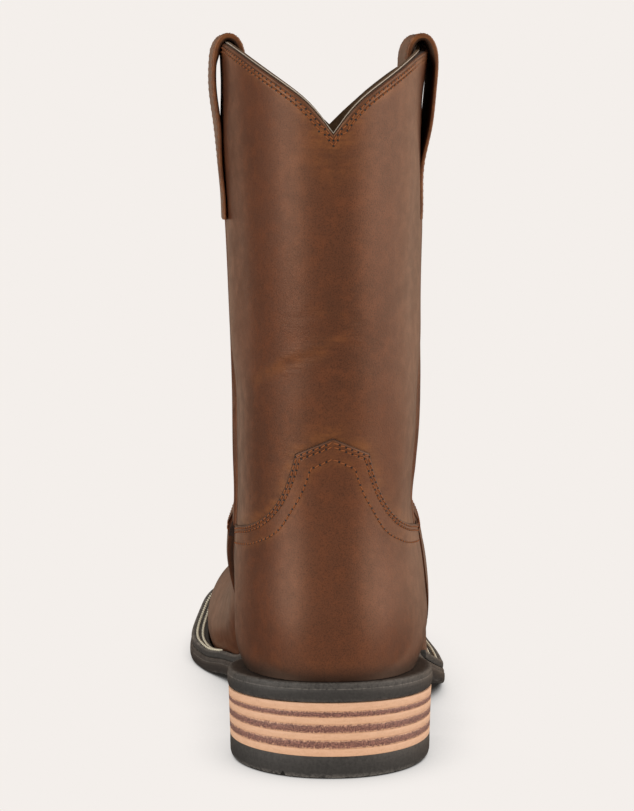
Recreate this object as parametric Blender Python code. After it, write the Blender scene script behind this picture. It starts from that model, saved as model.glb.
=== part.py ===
"""A pull-on roper boot for the right foot, standing empty on its sole.

The boot is built the way its maker builds it. An outsole with a welt and a stacked heel
lies below. A hollow upper is lofted over the last and stands on it. A vamp and a heel
counter are laid over the foot, piping runs down the side seams, and two pull straps are
folded over the collar.

Lengths are millimetres on the last: x to the outer side of the foot, y from the back of
the heel to the toe, z up from the floor. They become metres when a mesh is made.
"""

import bpy
import bmesh
import numpy as np

MM = 0.001
GAP = 0.3

# Main sizes of the boot
SOLE_LENGTH = 306.0
HEEL_BREAST = 73.0
WALL = 2.6
OVERLAY = 1.6
COLLAR_V_HEIGHT = 248.0
COLLAR_RISE = 32.2
COLLAR_FRONT_DROP = 4.0
COLLAR_FRONT_POWER = 0.85
COLLAR_POWER = 0.62
SEAM_Y = 69.0
SEAM_TOP = 89.0

# Sole, from the floor up
HEEL_CAP_THICK = 8.8
STACK_TOP_BACK = 30.0
SEAT_SLOPE = 0.055
OUTSOLE_HEEL_THICK = 8.0
OUTSOLE_FORE_THICK = 7.0
WELT_THICK = 3.2
INSOLE_THICK = 3.5
FLAT_FROM = 172.0
FLAT_TO = 206.0
TOE_SPRING = 14.5
SOLE_BULGE = 1.6
HEEL_INSET = 0.4
HEEL_TAPER = 0.6

# Heel lifts from the top down: the share of the stack each one takes
LIFT_SHARES = (8.0, 6.0, 7.0, 8.5, 7.0, 8.5, 7.5)

# Where the upper meets the sole: back of the seat and tip of the toe
SEAT_Y = 4.0
TOE_Y = 296.5

# Half-widths from the heel's own axis. The feather line is where upper and sole meet.
FOOT_PLAN_COLUMNS = ("y", "feather_medial", "feather_lateral", "sole_medial", "sole_lateral")
FOOT_PLAN = (
    (0.0, 32.0, 32.0, 40.6, 40.6),
    (40.0, 32.0, 32.4, 41.0, 41.2),
    (75.0, 30.4, 34.0, 38.4, 42.6),
    (110.0, 27.0, 37.4, 34.8, 47.0),
    (150.0, 29.4, 42.0, 37.0, 53.2),
    (174.0, 36.8, 43.0, 44.4, 53.8),
    (190.0, 42.6, 42.4, 50.6, 52.8),
    (213.0, 46.0, 40.4, 57.0, 50.6),
    (240.0, 45.8, 37.8, 57.0, 48.4),
    (265.0, 43.4, 35.8, 54.0, 46.6),
    (306.0, 39.0, 32.5, 48.5, 43.0),
)

# Sections of the last. Each lies in a plane through its base and its top. A back section
# stands with its base on the back of the leg at height "base". A foot section has its base
# on the feather line at distance "base" from the heel. Widths are measured from x = 0.
SECTION_COLUMNS = (
    "base", "top_y", "top_z", "crown_x", "medial", "lateral", "widest", "low_power", "top_power",
)
BACK_SECTIONS = (
    (300.0, 147.5, 300.0, 3.2, 44.0, 38.6, 0.50, 2.10, 2.10),
    (258.0, 145.0, 258.0, 3.2, 42.2, 37.7, 0.50, 2.10, 2.10),
    (210.0, 141.0, 210.0, 3.0, 39.2, 36.2, 0.50, 2.10, 2.10),
    (177.0, 137.5, 177.0, 2.8, 37.8, 35.6, 0.50, 2.10, 2.10),
    (144.0, 133.5, 145.0, 2.4, 36.8, 36.0, 0.50, 2.10, 2.10),
    (120.0, 131.2, 127.0, 1.8, 36.8, 35.2, 0.49, 2.10, 2.10),
    (97.0, 132.4, 115.5, 1.2, 36.6, 33.8, 0.50, 2.15, 2.10),
    (75.0, 135.6, 107.4, 0.6, 37.2, 35.0, 0.55, 2.20, 2.20),
    (55.0, 139.6, 101.2, 0.2, 38.2, 37.4, 0.60, 2.30, 2.30),
    (36.6, 143.6, 96.6, -0.2, 39.0, 39.2, 0.61, 2.30, 2.35),
)
FOOT_SECTIONS = (
    (24.0, 148.0, 92.2, -0.6, 39.4, 40.4, 0.56, 2.25, 2.30),
    (50.0, 154.2, 87.0, -1.0, 39.0, 41.2, 0.48, 2.20, 2.20),
    (80.0, 162.4, 81.4, -1.6, 38.4, 42.2, 0.40, 2.20, 2.08),
    (110.0, 172.4, 75.6, -2.2, 38.4, 43.2, 0.33, 2.20, 1.95),
    (140.0, 183.6, 70.2, -2.8, 39.8, 44.4, 0.28, 2.20, 1.88),
    (166.0, 195.6, 65.6, -3.2, 43.6, 45.2, 0.25, 2.20, 1.82),
    (190.0, 208.0, 61.8, -3.4, 47.2, 44.8, 0.24, 2.20, 1.82),
    (212.0, 222.4, 58.0, -3.4, 49.0, 43.0, 0.24, 2.20, 1.84),
    (236.0, 240.4, 53.2, -3.2, 48.6, 40.4, 0.25, 2.20, 1.90),
    (257.0, 258.4, 48.0, -3.2, 46.6, 38.4, 0.27, 2.20, 2.00),
    (272.0, 272.4, 43.4, -3.2, 45.0, 37.2, 0.29, 2.20, 2.10),
    (282.0, 282.0, 39.4, -3.2, 44.0, 36.4, 0.31, 2.20, 2.20),
    (290.0, 290.0, 34.4, -3.2, 43.2, 35.8, 0.33, 2.20, 2.30),
    (294.5, 294.5, 29.0, -3.2, 42.8, 35.4, 0.35, 2.20, 2.40),
    (296.5, 296.5, 23.0, -3.2, 42.6, 35.2, 0.37, 2.20, 2.50),
)

# Back of the leg, from the seat up to above the collar
BACK_LINE_COLUMNS = ("height", "y")
BACK_LINE = (
    (36.6, 4.0), (46.0, 3.2), (56.0, 3.2), (75.0, 6.4), (97.0, 9.8), (116.0, 10.4),
    (140.0, 8.8), (180.0, 5.8), (240.0, 4.0), (300.0, 3.0),
)

# Top edge of the heel counter: distance round the leg from the back seam, height
COUNTER_EDGE_COLUMNS = ("girth", "height")
COUNTER_EDGE = (
    (0.0, 131.6), (14.4, 125.2), (16.6, 119.6), (19.6, 112.6), (24.5, 105.4), (33.0, 98.2),
    (46.0, 92.4), (70.0, SEAM_TOP),
)

# Top edge of the vamp, from the side seam to the tongue on the shaft's front
VAMP_EDGE_COLUMNS = ("y", "height")
VAMP_EDGE = (
    (SEAM_Y, SEAM_TOP), (92.0, 90.0), (110.0, 96.0), (122.0, 108.0), (130.0, 129.0), (137.0, 147.0),
)

# Grid of the upper
COLUMNS_PER_SIDE = 15
SHAFT_ROW_HEIGHTS = (212.0, 186.0, 162.0, 142.0, 126.0)
COLLAR_ROW_SHARES = (1.0, 0.93, 0.8, 0.5)
ANKLE_ROW_HEIGHTS = (112.0, 99.0, 87.0, 75.5, 64.5, 54.0, 45.0)
HEEL_ROUND_STATIONS = (5.4, 9.4, 16.0, 25.0, 36.0)
FOOT_STATIONS = (
    50.0, 62.0, HEEL_BREAST, 87.0, 103.0, 120.0, 138.0, 156.0, FLAT_FROM, 189.0, FLAT_TO, 224.0, 241.0,
)
TOE_ROUND_ROWS = 7

# Round ends of the two outlines
FEATHER_HEEL_ROUND = (48.0, SEAT_Y, 2.2)
FEATHER_TOE_ROUND = (256.0, TOE_Y, 3.0)
SOLE_HEEL_ROUND = (45.0, 0.0, 2.1)
SOLE_TOE_ROUND = (262.0, SOLE_LENGTH, 3.1)

# Pull straps
STRAP_WIDTH = 27.0
STRAP_THICK = 2.6
STRAP_END_THICK = 1.5
STRAP_FOOT_HEIGHT = 213.0
STRAP_INSIDE_HEIGHT = 244.0

# Side piping
PIPING_HALF_WIDTH = 1.4
PIPING_PROUD = 1.9
PIPING_TOP = STRAP_FOOT_HEIGHT - 2.0

MEDIAL = -1.0
LATERAL = 1.0

COLOURS = {
    "leather": (0.10, 0.040, 0.020),
    "strap": (0.13, 0.055, 0.028),
    "rubber": (0.012, 0.012, 0.013),
    "tan_lift": (0.30, 0.20, 0.11),
    "dark_lift": (0.07, 0.045, 0.028),
    "insole": (0.45, 0.34, 0.22),
}


# Curves through the tables

def natural_spline(knots, values):
    """Gives a function for the smooth curve through the values, one column or several."""
    knots = np.asarray(knots, float)
    values = np.asarray(values, float).reshape(len(knots), -1)
    count = len(knots)
    step = np.diff(knots)
    matrix = np.eye(count)
    right = np.zeros_like(values)
    slopes = np.diff(values, axis=0) / step[:, None]
    for i in range(1, count - 1):
        matrix[i, i - 1:i + 2] = step[i - 1], 2 * (step[i - 1] + step[i]), step[i]
        right[i] = 6 * (slopes[i] - slopes[i - 1])
    bend = np.linalg.solve(matrix, right)

    def curve(where):
        where = np.clip(np.asarray(where, float), knots[0], knots[-1])
        i = np.clip(np.searchsorted(knots, where) - 1, 0, count - 2)
        after = ((where - knots[i]) / step[i])[..., None]
        before = 1 - after
        arch = (before ** 3 - before) * bend[i] + (after ** 3 - after) * bend[i + 1]
        return before * values[i] + after * values[i + 1] + arch * (step[i] ** 2)[..., None] / 6

    return curve


def smoothstep(share):
    share = np.clip(share, 0, 1)
    return share * share * (3 - 2 * share)


def end_round(y, ending):
    """Share of the full width that is left at y as an outline rounds off to its end."""
    start, end, power = ending
    share = np.clip((y - start) / (end - start), 0, 1)
    return (1 - share ** power) ** (1 / power)


PLAN = np.array(FOOT_PLAN)
PLAN_CURVE = natural_spline(PLAN[:, 0], PLAN[:, 1:])
BACK_CURVE = natural_spline(*np.array(BACK_LINE).T)
COUNTER_TABLE = np.array(COUNTER_EDGE)
VAMP_CURVE = natural_spline(*np.array(VAMP_EDGE).T)


# Levels of the sole

def heel_line(y):
    return STACK_TOP_BACK - SEAT_SLOPE * y


def sole_bottom(y):
    """Underside of the outsole: heel seat, arch, flat forefoot and toe spring."""
    y = np.asarray(y, float)
    arch = heel_line(y) * (1 - smoothstep((y - HEEL_BREAST) / (FLAT_FROM - HEEL_BREAST)))
    spring = TOE_SPRING * (np.clip(y - FLAT_TO, 0, None) / (SOLE_LENGTH - FLAT_TO)) ** 1.8
    return arch + spring


def sole_top(y):
    thin = smoothstep((np.asarray(y, float) - HEEL_BREAST) / 60.0)
    return sole_bottom(y) + OUTSOLE_HEEL_THICK + (OUTSOLE_FORE_THICK - OUTSOLE_HEEL_THICK) * thin


def feather_height(y):
    return sole_top(y) + GAP


# Outlines seen from above

def feather_half_width(y, side):
    full = PLAN_CURVE(y)[..., 0 if side == MEDIAL else 1]
    return full * end_round(y, FEATHER_HEEL_ROUND) * end_round(y, FEATHER_TOE_ROUND)


def sole_half_width(y, side):
    full = PLAN_CURVE(y)[..., 2 if side == MEDIAL else 3]
    return full * end_round(y, SOLE_HEEL_ROUND) * end_round(y, SOLE_TOE_ROUND)


# Surface of the upper. A station is a distance from the seat's back: negative up the back of
# the leg, positive along the feather line.

SEAT_Z = float(feather_height(SEAT_Y))


def section_curve():
    back = np.array(BACK_SECTIONS)
    foot = np.array(FOOT_SECTIONS)
    stations = np.concatenate([SEAT_Z - back[:, 0], foot[:, 0] - SEAT_Y])
    return natural_spline(stations, np.vstack([back[:, 1:], foot[:, 1:]]))


SECTION_CURVE = section_curve()


def section_base(station):
    """The base of a section: on the back of the leg, or on the feather line."""
    station = np.asarray(station, float)
    up = np.maximum(-station, 0)
    along = np.maximum(station, 0)
    y = np.where(station < 0, BACK_CURVE(SEAT_Z + up)[..., 0], SEAT_Y + along)
    z = np.where(station < 0, SEAT_Z + up, feather_height(SEAT_Y + along))
    return y, z


def section_profile(station, height_share, side):
    """Share of the section's full width at a share of its height."""
    columns = SECTION_CURVE(station)
    widest, low_power, top_power = columns[..., 5], columns[..., 6], columns[..., 7]
    base_y, _ = section_base(station)
    full = columns[..., 3 if side == MEDIAL else 4]
    on_sole = PLAN_CURVE(base_y)[..., 0 if side == MEDIAL else 1] * end_round(base_y, FEATHER_HEEL_ROUND)
    foot = np.where(station > 0, np.clip(on_sole / full, 0, 1), 0.0)
    cut = (1 - foot ** low_power) ** (1 / low_power)
    below = np.clip(1 - height_share / widest, 0, 1) * cut
    above = np.clip((height_share - widest) / (1 - widest), 0, 1)
    low = (1 - below ** low_power) ** (1 / low_power)
    top = (1 - above ** top_power) ** (1 / top_power)
    return np.where(height_share < widest, low, top)


def surface_point(station, height_share, side):
    """A point of the upper: its sides bulge from the line between base and crown."""
    columns = SECTION_CURVE(station)
    base_y, base_z = section_base(station)
    profile = section_profile(station, height_share, side)
    middle = columns[..., 2] * height_share * (1 - profile)
    reach = side * columns[..., 3 if side == MEDIAL else 4] * profile
    x = (middle + reach) * end_round(base_y, FEATHER_TOE_ROUND)
    y = base_y + height_share * (columns[..., 0] - base_y)
    z = base_z + height_share * (columns[..., 1] - base_z)
    return np.stack([x, y, z], axis=-1)


def half_section(station, side, count, lowest=0.0, highest=1.0):
    """Evenly spaced points of half a section, from its low end to its crown."""
    angle = np.linspace(0, np.pi, 161)
    share = lowest + (highest - lowest) * (1 - np.cos(angle)) / 2
    line = surface_point(np.full_like(share, station), share, side)
    run = np.concatenate([[0], np.cumsum(np.linalg.norm(np.diff(line, axis=0), axis=1))])
    wanted = np.linspace(0, run[-1], count + 1)
    return np.stack([np.interp(wanted, run, line[:, k]) for k in range(3)], axis=1)


def whole_section(station):
    """A loop of points from the medial low end over the crown to the lateral low end."""
    medial = half_section(station, MEDIAL, COLUMNS_PER_SIDE)
    lateral = half_section(station, LATERAL, COLUMNS_PER_SIDE)
    return np.vstack([medial, lateral[-2::-1]])


def surface_x(y, z, side):
    """Finds the surface at places in the side view by halving the span of stations."""
    y, z = np.broadcast_arrays(np.asarray(y, float), np.asarray(z, float))
    low = np.full(y.shape, SEAT_Z - 300.0)
    high = np.full(y.shape, TOE_Y - SEAT_Y)
    for _ in range(40):
        middle = (low + high) / 2
        base_y, base_z = section_base(middle)
        columns = SECTION_CURVE(middle)
        along, rise = columns[..., 0] - base_y, columns[..., 1] - base_z
        above = along * (z - base_z) > rise * (y - base_y)
        low, high = np.where(above, low, middle), np.where(above, middle, high)
    share = ((y - base_y) * along + (z - base_z) * rise) / (along ** 2 + rise ** 2)
    return surface_point(middle, np.clip(share, 0, 1), side)[..., 0]


# Grid of the upper

def collar_height(share_of_width, front):
    """Height of the scalloped collar: a V at the back, a lower one in front, ears between."""
    drop = np.where(front, COLLAR_FRONT_DROP, 0.0)
    power = np.where(front, COLLAR_FRONT_POWER, COLLAR_POWER)
    return COLLAR_V_HEIGHT - drop + (COLLAR_RISE + drop) * share_of_width ** power


def collar_rows():
    """Rows between the scalloped collar and the first level row of the shaft."""
    level = whole_section(SEAT_Z - COLLAR_V_HEIGHT)
    x, front = level[:, 0], level[:, 1] > SEAM_Y
    centre = np.where(front, x[COLUMNS_PER_SIDE], 0.0)
    reach = np.abs(np.where(x < centre, x.min(), x.max()) - centre)
    top = collar_height(np.clip(np.abs(x - centre) / reach, 0, 1), front)
    first = SHAFT_ROW_HEIGHTS[0]
    rows = []
    for share in COLLAR_ROW_SHARES:
        heights = first + share * (top - first)
        rows.append(np.array([whole_section(SEAT_Z - h)[j] for j, h in enumerate(heights)]))
    return rows


def toe_stations():
    start, end, power = FEATHER_TOE_ROUND
    angle = np.linspace(0, np.pi / 2, TOE_ROUND_ROWS + 1)[:-1]
    y = start + (end - start) * np.sin(angle) ** (2 / power)
    return list(y - SEAT_Y) + [end - SEAT_Y]


def upper_grid():
    """Outer surface of the upper as rows of points, and the row that lies on the seat."""
    stations = [SEAT_Z - h for h in SHAFT_ROW_HEIGHTS + ANKLE_ROW_HEIGHTS]
    seat_row = len(COLLAR_ROW_SHARES) + len(stations)
    stations += [0.0] + [y - SEAT_Y for y in HEEL_ROUND_STATIONS + FOOT_STATIONS] + toe_stations()
    rows = collar_rows() + [whole_section(station) for station in stations]
    return np.array(rows), seat_row


def grid_normals(grid):
    """Outward normals, shared by points that lie on one another."""
    rows, columns, _ = grid.shape
    flat = grid.reshape(-1, 3)
    _, shared = np.unique(np.round(flat, 3), axis=0, return_inverse=True)
    shared = shared.reshape(-1)
    index = np.arange(rows * columns).reshape(rows, columns)
    a, b = index[:-1, :-1].ravel(), index[:-1, 1:].ravel()
    c, d = index[1:, 1:].ravel(), index[1:, :-1].ravel()
    face = np.cross(flat[b] - flat[d], flat[c] - flat[a])
    total = np.zeros((shared.max() + 1, 3))
    for corner in (a, b, c, d):
        np.add.at(total, shared[corner], face)
    normal = total[shared]
    normal /= np.maximum(np.linalg.norm(normal, axis=1, keepdims=True), 1e-9)
    return normal.reshape(grid.shape)


def shell_faces(rows, columns, seat_row):
    """Faces of a shell: outer and inner skin, the collar's rim and the feather's rim."""
    outer = np.arange(rows * columns).reshape(rows, columns)
    inner = outer + rows * columns
    faces = []
    for i in range(rows - 1):
        for j in range(columns - 1):
            faces.append((outer[i, j], outer[i, j + 1], outer[i + 1, j + 1], outer[i + 1, j]))
            faces.append((inner[i, j], inner[i + 1, j], inner[i + 1, j + 1], inner[i, j + 1]))
    for j in range(columns - 1):
        faces.append((outer[0, j], inner[0, j], inner[0, j + 1], outer[0, j + 1]))
    for i in range(seat_row, rows - 1):
        faces.append((outer[i, 0], outer[i + 1, 0], inner[i + 1, 0], inner[i, 0]))
        faces.append((outer[i, -1], inner[i, -1], inner[i + 1, -1], outer[i + 1, -1]))
    return faces


def upper_shell(out, inside):
    """Points and faces of the shell between two offsets of the upper's own surface."""
    grid, seat_row = upper_grid()
    normal = grid_normals(grid)
    skins = []
    for offset in (out, inside):
        skin = grid + normal * offset
        skin[0, :, 2] = grid[0, :, 2]
        for edge in (0, -1):
            skin[seat_row:, edge, 2] = feather_height(skin[seat_row:, edge, 1])
        skins.append(skin.reshape(-1, 3))
    return np.vstack(skins), shell_faces(grid.shape[0], grid.shape[1], seat_row)


# Making objects

MATERIALS = {}


def material(name, colour, roughness):
    if name not in MATERIALS:
        made = bpy.data.materials.new(name)
        made.use_nodes = True
        shader = made.node_tree.nodes["Principled BSDF"]
        shader.inputs["Base Color"].default_value = (*COLOURS[colour], 1.0)
        shader.inputs["Roughness"].default_value = roughness
        MATERIALS[name] = made
    return MATERIALS[name]


def make_object(name, points, faces, colour, roughness=0.6):
    """A closed mesh with its points welded and its faces turned outward."""
    mesh = bpy.data.meshes.new(name)
    mesh.from_pydata((np.asarray(points) * MM).tolist(), [], [[int(v) for v in f] for f in faces])
    shape = bmesh.new()
    shape.from_mesh(mesh)
    bmesh.ops.remove_doubles(shape, verts=shape.verts, dist=0.000002)
    bmesh.ops.dissolve_degenerate(shape, edges=shape.edges, dist=0.000001)
    bmesh.ops.triangulate(shape, faces=[f for f in shape.faces if len(f.verts) > 3])
    bmesh.ops.recalc_face_normals(shape, faces=shape.faces)
    shape.to_mesh(mesh)
    shape.free()
    made = bpy.data.objects.new(name, mesh)
    mesh.materials.append(material(name + "_look", colour, roughness))
    bpy.context.scene.collection.objects.link(made)
    return made


def cut_to(part, cutter, operation):
    """Keeps the part of a form inside a cutter, or takes the cutter away from it."""
    step = part.modifiers.new("cut", "BOOLEAN")
    step.operation = operation
    step.solver = "EXACT"
    step.object = cutter
    bpy.context.view_layer.update()
    result = part.evaluated_get(bpy.context.evaluated_depsgraph_get())
    mesh = bpy.data.meshes.new_from_object(result)
    part.modifiers.clear()
    part.data = mesh
    bpy.data.objects.remove(cutter, do_unlink=True)


def patch_faces(rows, columns):
    """Faces of a thick patch between an outer and an inner grid of points."""
    outer = np.arange(rows * columns).reshape(rows, columns)
    inner = outer + rows * columns
    faces = []
    for i in range(rows - 1):
        for j in range(columns - 1):
            faces.append((outer[i, j], outer[i, j + 1], outer[i + 1, j + 1], outer[i + 1, j]))
            faces.append((inner[i, j], inner[i + 1, j], inner[i + 1, j + 1], inner[i, j + 1]))
    for j in range(columns - 1):
        faces.append((outer[0, j], inner[0, j], inner[0, j + 1], outer[0, j + 1]))
        faces.append((outer[-1, j], outer[-1, j + 1], inner[-1, j + 1], inner[-1, j]))
    for i in range(rows - 1):
        faces.append((outer[i, 0], outer[i + 1, 0], inner[i + 1, 0], inner[i, 0]))
        faces.append((outer[i, -1], inner[i, -1], inner[i + 1, -1], outer[i + 1, -1]))
    return faces


# Sole pieces are slabs between two outlines with levels that depend on y

def outline_stations(start, end, ending_back, ending_front):
    """Stations along a sole piece, close together where its ends are round."""
    angle = np.linspace(0, np.pi / 2, 9)[1:]
    stations = [start]
    if ending_back:
        full, tip, power = ending_back
        stations += list(full - (full - tip) * np.cos(angle) ** (2 / power))
    last = ending_front[0] if ending_front else end
    stations += [y for y in FOOT_STATIONS if stations[-1] + 1 < y < last - 1] + [last]
    if ending_front:
        full, tip, power = ending_front
        stations += list(full + (tip - full) * np.sin(angle) ** (2 / power))
    return np.array(stations)


def closed_outline(stations, half_width):
    """Points round an outline: the lateral side forward, then the medial side back."""
    lateral = np.stack([half_width(stations, LATERAL), stations], axis=1)
    medial = np.stack([-half_width(stations, MEDIAL), stations], axis=1)
    return np.vstack([lateral, medial[::-1]])


def inset(outline, amount):
    """Moves an outline inward by an amount along its own normals."""
    along = np.zeros_like(outline)
    for step in (-1, 1):
        edge = step * (outline - np.roll(outline, step, axis=0))
        twin = np.linalg.norm(edge, axis=1, keepdims=True) < 1e-6
        edge = np.where(twin, step * (outline - np.roll(outline, 2 * step, axis=0)), edge)
        along += edge / np.linalg.norm(edge, axis=1, keepdims=True)
    along /= np.maximum(np.linalg.norm(along, axis=1, keepdims=True), 1e-9)
    return outline + amount * np.stack([-along[:, 1], along[:, 0]], axis=1)


def slab(name, rings, colour, roughness=0.6):
    """A solid from rings of points listed from the bottom up, all with the same count."""
    count = len(rings[0])
    half = count // 2
    points = np.vstack(rings)
    faces = []
    for level in range(len(rings) - 1):
        low, high = level * count, (level + 1) * count
        for j in range(count):
            k = (j + 1) % count
            faces.append((low + j, low + k, high + k, high + j))
    top = (len(rings) - 1) * count
    for j in range(half - 1):
        a, b, c, d = j, j + 1, count - 2 - j, count - 1 - j
        faces.append((a, d, c, b))
        faces.append((top + a, top + b, top + c, top + d))
    return make_object(name, points, faces, colour, roughness)


def ring_at(outline, level):
    height = level(outline[:, 1]) if callable(level) else np.full(len(outline), level)
    return np.column_stack([outline, height])


# The pieces of the boot

def make_upper():
    points, faces = upper_shell(0.0, -WALL)
    return make_object("upper", points, faces, "leather", 0.45)


def back_girth_point(height, girth, side):
    """A point at a height, a distance round the leg from the back seam."""
    back_y = float(BACK_CURVE(height)[0]) if height > SEAT_Z else SEAT_Y
    reach = np.linspace(0, 1, 60) ** 2
    ys = back_y + 0.02 + reach * (SEAM_Y + 6.0 - back_y)
    line = np.column_stack([surface_x(ys, height, side), ys])
    line[0, 0] = 0.0
    run = np.concatenate([[0], np.cumsum(np.linalg.norm(np.diff(line, axis=0), axis=1))])
    return np.array([np.interp(girth, run, line[:, 0]), np.interp(girth, run, line[:, 1]), height])


def counter_patch(out, inside):
    """A thick patch over the heel with the counter's outline."""
    across = np.array([0, 7.5, 15.0, 16.2, 18.5, 22.0, 28.0, 36.0, 46.0, 58.0])
    side_gap = PIPING_HALF_WIDTH + GAP
    grid = []
    for side in (MEDIAL, LATERAL):
        columns = []
        for girth in across:
            top = np.interp(girth, COUNTER_TABLE[:, 0], COUNTER_TABLE[:, 1])
            levels = np.linspace(SEAT_Z - 6.0, top, 9)
            columns.append([back_girth_point(level, girth, side) for level in levels])
        last = np.linspace(SEAT_Z - 6.0, SEAM_TOP, 9)
        edge_y = SEAM_Y - side_gap
        columns.append(np.column_stack([surface_x(edge_y, last, side), np.full(9, edge_y), last]))
        columns = np.array(columns)
        grid.append(columns[::-1] if side == MEDIAL else columns[1:])
    grid = np.vstack(grid).transpose(1, 0, 2)
    normal = grid_normals(grid)
    normal[..., 2] = 0
    normal /= np.linalg.norm(normal, axis=2, keepdims=True)
    skins = [grid + normal * offset for offset in (out, inside)]
    points = np.vstack([skin.reshape(-1, 3) for skin in skins])
    return make_object("counter_patch", points, patch_faces(grid.shape[0], grid.shape[1]), "leather")


def make_heel_counter():
    points, faces = upper_shell(GAP + OVERLAY, GAP)
    counter = make_object("heel_counter", points, faces, "leather", 0.45)
    cut_to(counter, counter_patch(9.0, -4.0), "INTERSECT")
    return counter


def vamp_cutter():
    """A block seen from the side with the vamp's outline, wider than the boot."""
    edge_y = SEAM_Y + PIPING_HALF_WIDTH + GAP
    y = np.linspace(edge_y, VAMP_EDGE[-1][0], 14)
    edge = np.column_stack([y, VAMP_CURVE(y)[:, 0]])
    frame = [(170.0, 160.0), (330.0, 160.0), (330.0, -10.0), (edge_y, -10.0)]
    outline = np.vstack([edge, frame])
    count = len(outline)
    points = np.vstack([np.insert(outline, 0, x, axis=1) for x in (-90.0, 90.0)])
    faces = [tuple(range(count)), tuple(range(2 * count - 1, count - 1, -1))]
    faces += [(j, j + count, (j + 1) % count + count, (j + 1) % count) for j in range(count)]
    return make_object("vamp_cutter", points, faces, "leather")


def make_vamp():
    points, faces = upper_shell(GAP + OVERLAY, GAP)
    vamp = make_object("vamp", points, faces, "leather", 0.45)
    cut_to(vamp, vamp_cutter(), "INTERSECT")
    return vamp


def make_piping(side, name):
    """A half-round bead on the side seam, swept from the sole to the pull strap."""
    foot = float(feather_height(SEAM_Y)) + 0.4
    heights = np.linspace(foot, PIPING_TOP, 26)
    line = np.column_stack([surface_x(SEAM_Y, heights, side), np.full(len(heights), SEAM_Y), heights])
    tangent = np.gradient(line, axis=0)
    forward = np.zeros_like(line)
    forward[:, 0] = surface_x(SEAM_Y + 2, heights, side) - surface_x(SEAM_Y - 2, heights, side)
    forward[:, 1] = 4.0
    forward /= np.linalg.norm(forward, axis=1, keepdims=True)
    outward = np.cross(forward, tangent) * side
    outward /= np.linalg.norm(outward, axis=1, keepdims=True)
    section = [(-PIPING_HALF_WIDTH, GAP), (-PIPING_HALF_WIDTH, 0.55 * PIPING_PROUD)]
    section += [(-0.8, 0.92 * PIPING_PROUD), (0.8, 0.92 * PIPING_PROUD)]
    section += [(PIPING_HALF_WIDTH, 0.55 * PIPING_PROUD), (PIPING_HALF_WIDTH, GAP)]
    rings = [line + forward * a + outward * (b + 0.25) for a, b in section]
    for ring in rings:
        ring[0, 2] = foot
    points = np.stack(rings, axis=1).reshape(-1, 3)
    size = len(section)
    faces = []
    for i in range(len(heights) - 1):
        for j in range(size):
            k = (j + 1) % size
            faces.append((i * size + j, i * size + k, (i + 1) * size + k, (i + 1) * size + j))
    faces.append(tuple(range(size - 1, -1, -1)))
    faces.append(tuple(range((len(heights) - 1) * size, len(heights) * size)))
    return make_object(name, points, faces, "leather", 0.45)


def strap_path(side):
    """Middle line of a pull strap in the plane of the ear, up the outside and over: x, z."""
    half = STRAP_THICK / 2
    reach = np.array([-STRAP_WIDTH / 2, 0.0, STRAP_WIDTH / 2])

    def wall(z):
        return np.abs(surface_x(SEAM_Y + reach, z, side)).max()

    inner = np.abs(surface_x(SEAM_Y + reach, STRAP_INSIDE_HEIGHT, side)).min() - WALL - 0.8 - half
    ear = wall(278.0)
    path = [
        (wall(213.0) + 0.4 + STRAP_END_THICK / 2, STRAP_FOOT_HEIGHT),
        (wall(222.0) + 0.6 + STRAP_END_THICK / 2, 222.0),
        (wall(235.0) + 1.1 + half, 235.0),
        (wall(250.0) + 1.7 + half, 250.0),
        (wall(265.0) + 2.0 + half, 265.0),
        (ear + 1.7 + half, 276.0),
        (ear + 1.6, 282.2),
        (ear - 1.4, 285.2),
        (ear - 4.8, 284.8),
        (ear - 7.4, 281.6),
        (ear - 8.4, 277.0),
        (ear - 8.2, 269.0),
        (ear - 7.4, 260.0),
        (inner, 250.0),
        (inner, STRAP_INSIDE_HEIGHT),
    ]
    return np.array(path)


def make_pull_strap(side, name):
    """A strap along its path, thinned at its outer foot, as wide as the loop is deep."""
    path = strap_path(side)
    knots = np.concatenate([[0], np.cumsum(np.linalg.norm(np.diff(path, axis=0), axis=1))])
    places = np.linspace(0, knots[-1], 30)
    line = natural_spline(knots, path)(places)
    along = np.gradient(line, axis=0)
    along /= np.linalg.norm(along, axis=1, keepdims=True)
    thick = STRAP_END_THICK + (STRAP_THICK - STRAP_END_THICK) * smoothstep((places - 8.0) / 14.0)
    across = np.column_stack([-along[:, 1], along[:, 0]]) * thick[:, None] / 2
    rings = []
    for edge, skin in ((-1, 1), (1, 1), (1, -1), (-1, -1)):
        place = line + skin * across
        y = np.full(len(line), SEAM_Y + edge * STRAP_WIDTH / 2)
        rings.append(np.column_stack([side * place[:, 0], y, place[:, 1]]))
    points = np.stack(rings, axis=1).reshape(-1, 3)
    faces = []
    for i in range(len(line) - 1):
        for j in range(4):
            k = (j + 1) % 4
            faces.append((4 * i + j, 4 * i + k, 4 * i + 4 + k, 4 * i + 4 + j))
    faces.append((3, 2, 1, 0))
    faces.append(tuple(range(4 * len(line) - 4, 4 * len(line))))
    return make_object(name, points, faces, "strap", 0.5)


def make_outsole():
    stations = outline_stations(0.0, SOLE_LENGTH, SOLE_HEEL_ROUND, SOLE_TOE_ROUND)
    edge = closed_outline(stations, sole_half_width)
    bulge = inset(edge, -SOLE_BULGE)
    heel_side = smoothstep((edge[:, 1] - HEEL_BREAST - 10) / 60.0)[:, None]
    middle = edge + (bulge - edge) * heel_side
    rings = [
        ring_at(inset(edge, 0.8), sole_bottom),
        ring_at(middle, lambda y: sole_bottom(y) + 2.0),
        ring_at(middle, lambda y: sole_top(y) - 2.2),
        ring_at(edge, lambda y: sole_top(y) - 0.9),
        ring_at(inset(edge, 0.9), sole_top),
    ]
    return slab("outsole", rings, "rubber", 0.75)


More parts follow.
